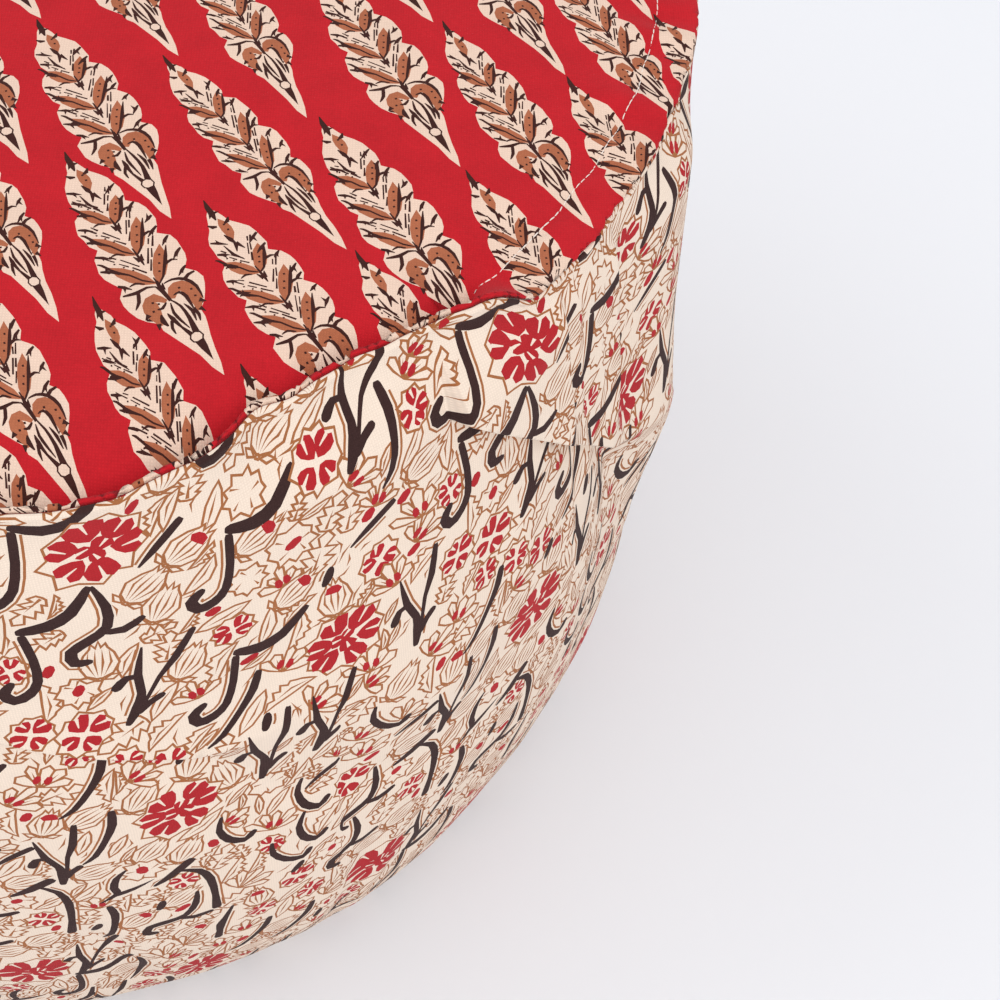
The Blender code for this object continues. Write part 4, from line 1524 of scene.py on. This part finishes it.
def printed_cotton(name, colour, patchy, pitch=0.8, weave=0.2):
    """Matt plain-weave cotton, dyed or block-printed: pigment lies patchily, and the thread grain shows in
    the bump and as painted shade, darker in the weave's gaps and lighter on its crowns.

    The real weave has a pitch of 0.4 mm, finer than a pixel; the weave is drawn at twice that.
    """
    material, tree, shader = new_material(name)
    flat = add(tree, "ShaderNodeUVMap", uv_map="Cloth").outputs["UV"]
    in_mm = add(tree, "ShaderNodeVectorMath", {"Vector": flat, "Scale": 1 / MM}, operation="SCALE")
    cloth = in_mm.outputs["Vector"]
    checks = weave_of(tree, cloth, pitch, {"Distortion": 1.2, "Detail": 1.0})
    slubs, clouds = (
        add(tree, "ShaderNodeTexNoise",
            {"Vector": cloth, "Scale": scale, "Detail": detail, "Roughness": rough}).outputs["Fac"]
        for scale, detail, rough in ((0.9, 3.0, 0.6), (0.075, 4.0, 0.62))
    )
    shade = add(tree, "ShaderNodeMath", {0: slubs, 1: clouds}, operation="ADD").outputs[0]
    patches = add(tree, "ShaderNodeMapRange", {"Value": shade, "From Min": 0.7, "From Max": 1.35})
    dyed = add(tree, "ShaderNodeMix", {
        0: patches.outputs["Result"], 6: shade_of(colour), 7: shade_of(colour, patchy),
    }, data_type="RGBA")
    # Painted shade of the weave: darker in its gaps and lighter on its crowns, after the same height as the
    # bump; weave is how much of it is laid on
    weave_shade = add(tree, "ShaderNodeMapRange", {"Value": checks, "To Min": 0.55, "To Max": 1.2})
    dyed_with_weave_shade = add(tree, "ShaderNodeMix", {0: weave, 6: dyed.outputs[2], 7: weave_shade.outputs["Result"]},
                data_type="RGBA", blend_type="MULTIPLY")
    thread_bump = add(tree, "ShaderNodeBump", {"Height": checks, "Strength": 0.25, "Distance": 0.0003})
    fibre_bump = add(tree, "ShaderNodeBump", {
        "Height": slubs, "Normal": thread_bump.outputs["Normal"], "Strength": 0.3, "Distance": 0.0004})
    set_inputs(shader, {
        "Base Color": dyed_with_weave_shade.outputs[2], "Normal": fibre_bump.outputs["Normal"], "Roughness": 0.92,
        "Sheen Weight": 0.04, "Sheen Roughness": 0.5, "Specular IOR Level": 0.12,
    })
    return material


def sewing_thread(name, colour):
    """Matt spun polyester-cotton thread: two plies wind round each other, their bands 0.6 mm apart."""
    material, tree, shader = new_material(name)
    place = add(tree, "ShaderNodeTexCoord").outputs["Object"]
    plies = add(tree, "ShaderNodeTexWave", {"Vector": place, "Scale": 500.0}, bands_direction="DIAGONAL")
    bump = add(tree, "ShaderNodeBump", {"Height": plies.outputs["Fac"], "Strength": 0.3, "Distance": 0.0002})
    set_inputs(shader, {
        "Base Color": shade_of(colour), "Normal": bump.outputs["Normal"], "Roughness": 0.7,
        "Sheen Weight": 0.2,
    })
    return material


def matt_floor(name, colour):
    """A painted studio floor: even and matt, with a faint variation."""
    material, tree, shader = new_material(name)
    place = add(tree, "ShaderNodeTexCoord").outputs["Object"]
    drift = add(tree, "ShaderNodeTexNoise", {"Vector": place, "Scale": 1.3, "Detail": 2.0})
    paint = add(tree, "ShaderNodeMix", {
        0: drift.outputs["Fac"], 6: shade_of(colour), 7: shade_of(colour, 0.985)}, data_type="RGBA")
    set_inputs(shader, {"Base Color": paint.outputs[2], "Roughness": 0.9, "Specular IOR Level": 0.1})
    return material


def undyed_canvas(name, colour, pitch=1.2):
    """Undyed plain-weave cotton canvas: thick thread in a plain check, drawn at twice its real pitch, with
    painted shade in the check's gaps.
    """
    material, tree, shader = new_material(name)
    place = add(tree, "ShaderNodeTexCoord").outputs["Object"]
    checks = weave_of(tree, place, pitch * MM, {"Distortion": 0.8})
    # Painted shade of the weave: darker in the gaps of the check, after the same height as the bump
    weave_shade = add(tree, "ShaderNodeMix", {0: checks, 6: shade_of(colour, 0.8), 7: shade_of(colour)},
                  data_type="RGBA")
    bump = add(tree, "ShaderNodeBump", {"Height": checks, "Strength": 0.4, "Distance": 0.0004})
    set_inputs(shader, {"Base Color": weave_shade.outputs[2], "Normal": bump.outputs["Normal"], "Roughness": 0.9})
    return material


# What a user would change

def colour_of(name, description, default):
    return bpy.props.FloatVectorProperty(
        name=name, description=description, subtype="COLOR", size=3, min=0.0, max=1.0,
        default=linear(default))


def length_of(name, description, default):
    return bpy.props.FloatProperty(
        name=name, description=description, subtype="DISTANCE", unit="LENGTH", min=0.0, default=default)


class PoufColours(bpy.types.PropertyGroup):
    """Colours of the cloths, their prints and the thread."""
    top_ground: colour_of("Top ground", "Dyed ground of the top panel", "C41F29")
    top_leaf: colour_of("Top leaf", "Leaf shape of the top print", "EACDB9")
    top_brown: colour_of("Top brown", "Leaflets of the top print", "B2694A")
    top_black: colour_of("Top black", "Lines of the top print", "371B17")
    side_ground: colour_of("Side ground", "Cream ground of the side band", "EDDAC8")
    side_brown: colour_of("Side brown", "Outlines of the side print", "AA6C43")
    side_black: colour_of("Side black", "Scrolls of the side print", "34211F")
    side_red: colour_of("Side red", "Flowers of the side print", "B4262C")
    canvas: colour_of("Canvas", "Undyed base panel", "D8CBB2")
    thread: colour_of("Thread", "Topstitching thread", "E8DCD2")
    floor: colour_of("Floor", "Studio floor", "ECEEF2")


class PoufStitching(bpy.types.PropertyGroup):
    """Sizes of the topstitching."""
    pitch: length_of("Pitch", "From one stitch to the next", 0.0027)
    length: length_of("Length", "Visible length of a stitch", 0.00268)
    width: length_of("Width", "Width of the thread", 0.00042)
    drift: length_of("Drift", "How far the stitch line wanders", 0.0005)


# Each cloth's inks in the order of their numbers: material, colour, how far its patches fade or darken
SIDE_INKS = [
    ("cotton_cream_ground", "side_ground", 0.95), ("cotton_brown_outline_print", "side_brown", 0.78),
    ("cotton_black_scroll_print", "side_black", 1.5), ("cotton_red_flower_print", "side_red", 0.82),
]
TOP_INKS = [
    ("cotton_red_dyed_ground", "top_ground", 0.8), ("cotton_brown_leaflet_print", "top_brown", 0.8),
    ("cotton_black_line_print", "top_black", 1.5), ("cotton_cream_leaf_print", "top_leaf", 0.9),
]


def cloth_materials(inks):
    """One material for each ink of a cloth."""
    colours = bpy.context.scene.pouf_colours
    return [printed_cotton(name, getattr(colours, colour), patchy) for name, colour, patchy in inks]


class POUF_OT_side_cloth(bpy.types.Operator):
    """Makes the filled side band in its printed cotton, in three wedges that meet unseen"""
    bl_idname = "pouf.side_cloth"
    bl_label = "Side cloth"

    def execute(self, context):
        repeat = flower_cloth()
        materials = cloth_materials(SIDE_INKS)
        for k, name in enumerate(SIDE_PIECES):
            piece = side_wedge(name, SIDE_START + 120 * k, SIDE_TILES // 3, repeat, materials)
            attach(piece, "root")
            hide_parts("side_band")
        return {"FINISHED"}


class POUF_OT_top_cloth(bpy.types.Operator):
    """Makes the printed top panel, its rim turned out as the flange"""
    bl_idname = "pouf.top_cloth"
    bl_label = "Top cloth"

    def execute(self, context):
        piece = top_sheet("top_cloth", cloth_materials(TOP_INKS))
        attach(piece, "root")
        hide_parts("top_panel")
        return {"FINISHED"}


class POUF_OT_base_cloth(bpy.types.Operator):
    """Makes the plain canvas base panel"""
    bl_idname = "pouf.base_cloth"
    bl_label = "Base cloth"

    STEPS = 120
    WORN_EDGE = 0.0007
    RINGS = (0.008, 0.06)   # widths of the rings inset in both flat faces

    def execute(self, context):
        bpy.ops.object.select_all(action="DESELECT")
        bpy.ops.mesh.primitive_cylinder_add(
            vertices=self.STEPS, radius=BASE_RADIUS, depth=CLOTH, location=(0, 0, CLOTH / 2))
        piece = context.object
        piece.name = piece.data.name = "base_cloth"
        bevel = piece.modifiers.new("Worn edge", "BEVEL")
        bevel.width = self.WORN_EDGE
        bevel.segments = 3
        bpy.ops.object.modifier_apply(modifier=bevel.name)
        bpy.ops.object.mode_set(mode="EDIT")
        bpy.ops.mesh.select_mode(type="FACE")
        bpy.ops.mesh.select_all(action="DESELECT")
        bpy.ops.object.mode_set(mode="OBJECT")
        for face in piece.data.polygons:
            face.select = len(face.vertices) > 4
        bpy.ops.object.mode_set(mode="EDIT")
        for width in self.RINGS:
            bpy.ops.mesh.inset(thickness=width)
        bpy.ops.object.mode_set(mode="OBJECT")
        bpy.ops.object.transform_apply(location=True, rotation=True, scale=True)
        bpy.ops.object.shade_smooth_by_angle(angle=math.radians(40))
        colour = context.scene.pouf_colours.canvas
        piece.data.materials.append(undyed_canvas("cotton_canvas_undyed", colour))
        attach(piece, "root")
        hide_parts("base_panel")
        return {"FINISHED"}


def one_stitch(sizes):
    """A stitch as a small spindle of thread, lower than it is wide, as points and faces."""
    bpy.ops.object.select_all(action="DESELECT")
    bpy.ops.mesh.primitive_uv_sphere_add(segments=6, ring_count=5, radius=0.5)
    stitch = bpy.context.object
    bpy.ops.object.mode_set(mode="EDIT")
    bpy.ops.mesh.select_all(action="SELECT")
    bpy.ops.transform.rotate(value=math.pi / 2, orient_axis="Y", center_override=(0, 0, 0))
    bpy.ops.transform.resize(value=(sizes.length, sizes.width, sizes.width * 0.75), center_override=(0, 0, 0))
    bpy.ops.object.mode_set(mode="OBJECT")
    points = np.array([vertex.co[:] for vertex in stitch.data.vertices])
    faces = [list(face.vertices) for face in stitch.data.polygons]
    bpy.data.objects.remove(stitch)
    return points, faces


def on_top(turn, past, above, round_step=0.05, out_step=0.0004):
    """A place this far outside the stitch line and above the top cloth."""
    def at(turn, past):
        return stood(turn, *top_line(turn, rim(turn)[2][0] + past))

    place = at(turn, past)
    normal = np.cross(at(turn, past + out_step) - place, at(turn + round_step, past) - place)
    return place + normal / np.linalg.norm(normal, axis=-1, keepdims=True) * above[:, None]


class POUF_OT_topstitching(bpy.types.Operator):
    """Makes the white topstitching round the flange"""
    bl_idname = "pouf.topstitching"
    bl_label = "Topstitching"

    def execute(self, context):
        sizes = context.scene.pouf_stitching
        rng = random.Random(3)
        points, faces = one_stitch(sizes)
        forward, left, up = points.T
        radius = RIM_RADIUS - FLANGE_WIDTH
        count = round(2 * math.pi * radius / sizes.pitch)
        all_points, all_faces = [], []
        for k in range(count):
            turn = 360 * k / count + rng.uniform(-0.04, 0.04)
            slant = rng.uniform(-0.09, 0.09)
            drift = sizes.drift * (math.sin(k * 0.11) + 0.6 * math.sin(k * 0.37 + 1))
            # Its ends dip into the cloth
            sunk = sizes.width * 0.5 * (2 * forward / sizes.length) ** 2
            stitch = on_top(turn + np.degrees(forward / radius), drift + left + slant * forward,
                            sizes.width * 0.55 + up - sunk)
            all_faces += [[i + len(all_points) for i in face] for face in faces]
            all_points += stitch.tolist()
        mesh = bpy.data.meshes.new("topstitching")
        mesh.from_pydata(all_points, [], all_faces)
        piece = stood_up(mesh.name, mesh)
        bpy.ops.object.select_all(action="DESELECT")
        piece.select_set(True)
        context.view_layer.objects.active = piece
        bpy.ops.object.mode_set(mode="EDIT")
        bpy.ops.mesh.select_all(action="SELECT")
        bpy.ops.mesh.normals_make_consistent(inside=False)
        bpy.ops.object.mode_set(mode="OBJECT")
        bpy.ops.object.shade_smooth()
        colour = context.scene.pouf_colours.thread
        mesh.materials.append(sewing_thread("polyester_cotton_thread_white", colour))
        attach(piece, "root")
        return {"FINISHED"}


class POUF_OT_stage(bpy.types.Operator):
    """Makes the floor, the soft light and the camera"""
    bl_idname = "pouf.stage"
    bl_label = "Stage"

    CAMERA = (0.187, -0.55489, 0.70638)
    ELEVATION = 50.0        # degrees that the camera looks down
    LENS = 72.83            # mm
    SENSOR = 36.0           # mm
    FLOOR = 60.0            # metres across, so that its edge isn't seen from low down
    LIT = Vector((0, 0, 0.2))       # where the lamps point
    SKY = (0.98, 0.98, 1.0, 1.0)
    SKY_STRENGTH = 0.80
    LAMPS = [               # name, place, size, power
        ("Softbox", (0.9, -2.3, 2.5), 2.0, 50.0),
        ("Window", (-1.7, 0.4, 2.4), 2.2, 12.0),
    ]

    def execute(self, context):
        scene = context.scene
        bpy.ops.object.select_all(action="DESELECT")
        bpy.ops.mesh.primitive_plane_add(size=self.FLOOR, location=(0, 0, 0))
        floor = context.object
        floor.name = floor.data.name = "studio_floor"
        floor.data.materials.append(matt_floor("painted_floor_pale", scene.pouf_colours.floor))
        for name, place, size, power in self.LAMPS:
            bpy.ops.object.light_add(type="AREA", location=place)
            lamp = context.object
            lamp.name = name
            lamp.data.shape = "DISK"
            lamp.data.size = size
            lamp.data.energy = power
            lamp.rotation_euler = (self.LIT - Vector(place)).to_track_quat("-Z", "Y").to_euler()
        world = scene.world or bpy.data.worlds.new("Studio")
        scene.world = world
        world.use_nodes = True
        set_inputs(world.node_tree.nodes["Background"], {"Color": self.SKY, "Strength": self.SKY_STRENGTH})
        tilt = math.radians(90 - self.ELEVATION)
        bpy.ops.object.camera_add(location=self.CAMERA, rotation=(tilt, 0, 0))
        camera = context.object
        camera.name = "Camera"
        camera.data.lens = self.LENS
        camera.data.sensor_width = self.SENSOR
        camera.data.clip_start = 0.01
        scene.camera = camera
        scene.view_settings.view_transform = "Standard"
        return {"FINISHED"}


class POUF_PT_panel(bpy.types.Panel):
    """Lists the pouf's sizes, colours and makers"""
    bl_idname = "POUF_PT_panel"
    bl_label = "Printed pouf"
    bl_space_type = "VIEW_3D"
    bl_region_type = "UI"
    bl_category = "Pouf"

    def draw(self, context):
        for group in (context.scene.pouf_colours, context.scene.pouf_stitching):
            for name in group.bl_rna.properties.keys():
                if name not in ("rna_type", "name"):
                    self.layout.prop(group, name)
        for operator in MAKERS:
            self.layout.operator(operator.bl_idname)


GROUPS = [PoufColours, PoufStitching]
MAKERS = [POUF_OT_side_cloth, POUF_OT_top_cloth, POUF_OT_base_cloth, POUF_OT_topstitching, POUF_OT_stage]


def register():
    for part in GROUPS + MAKERS + [POUF_PT_panel]:
        bpy.utils.register_class(part)
    bpy.types.Scene.pouf_colours = bpy.props.PointerProperty(type=PoufColours)
    bpy.types.Scene.pouf_stitching = bpy.props.PointerProperty(type=PoufStitching)


def unregister():
    del bpy.types.Scene.pouf_stitching
    del bpy.types.Scene.pouf_colours
    for part in reversed(GROUPS + MAKERS + [POUF_PT_panel]):
        bpy.utils.unregister_class(part)


def main():
    register()
    bpy.ops.pouf.side_cloth()
    bpy.ops.pouf.top_cloth()
    bpy.ops.pouf.base_cloth()
    bpy.ops.pouf.topstitching()
    bpy.ops.pouf.stage()


if __name__ == "__main__":
    main()
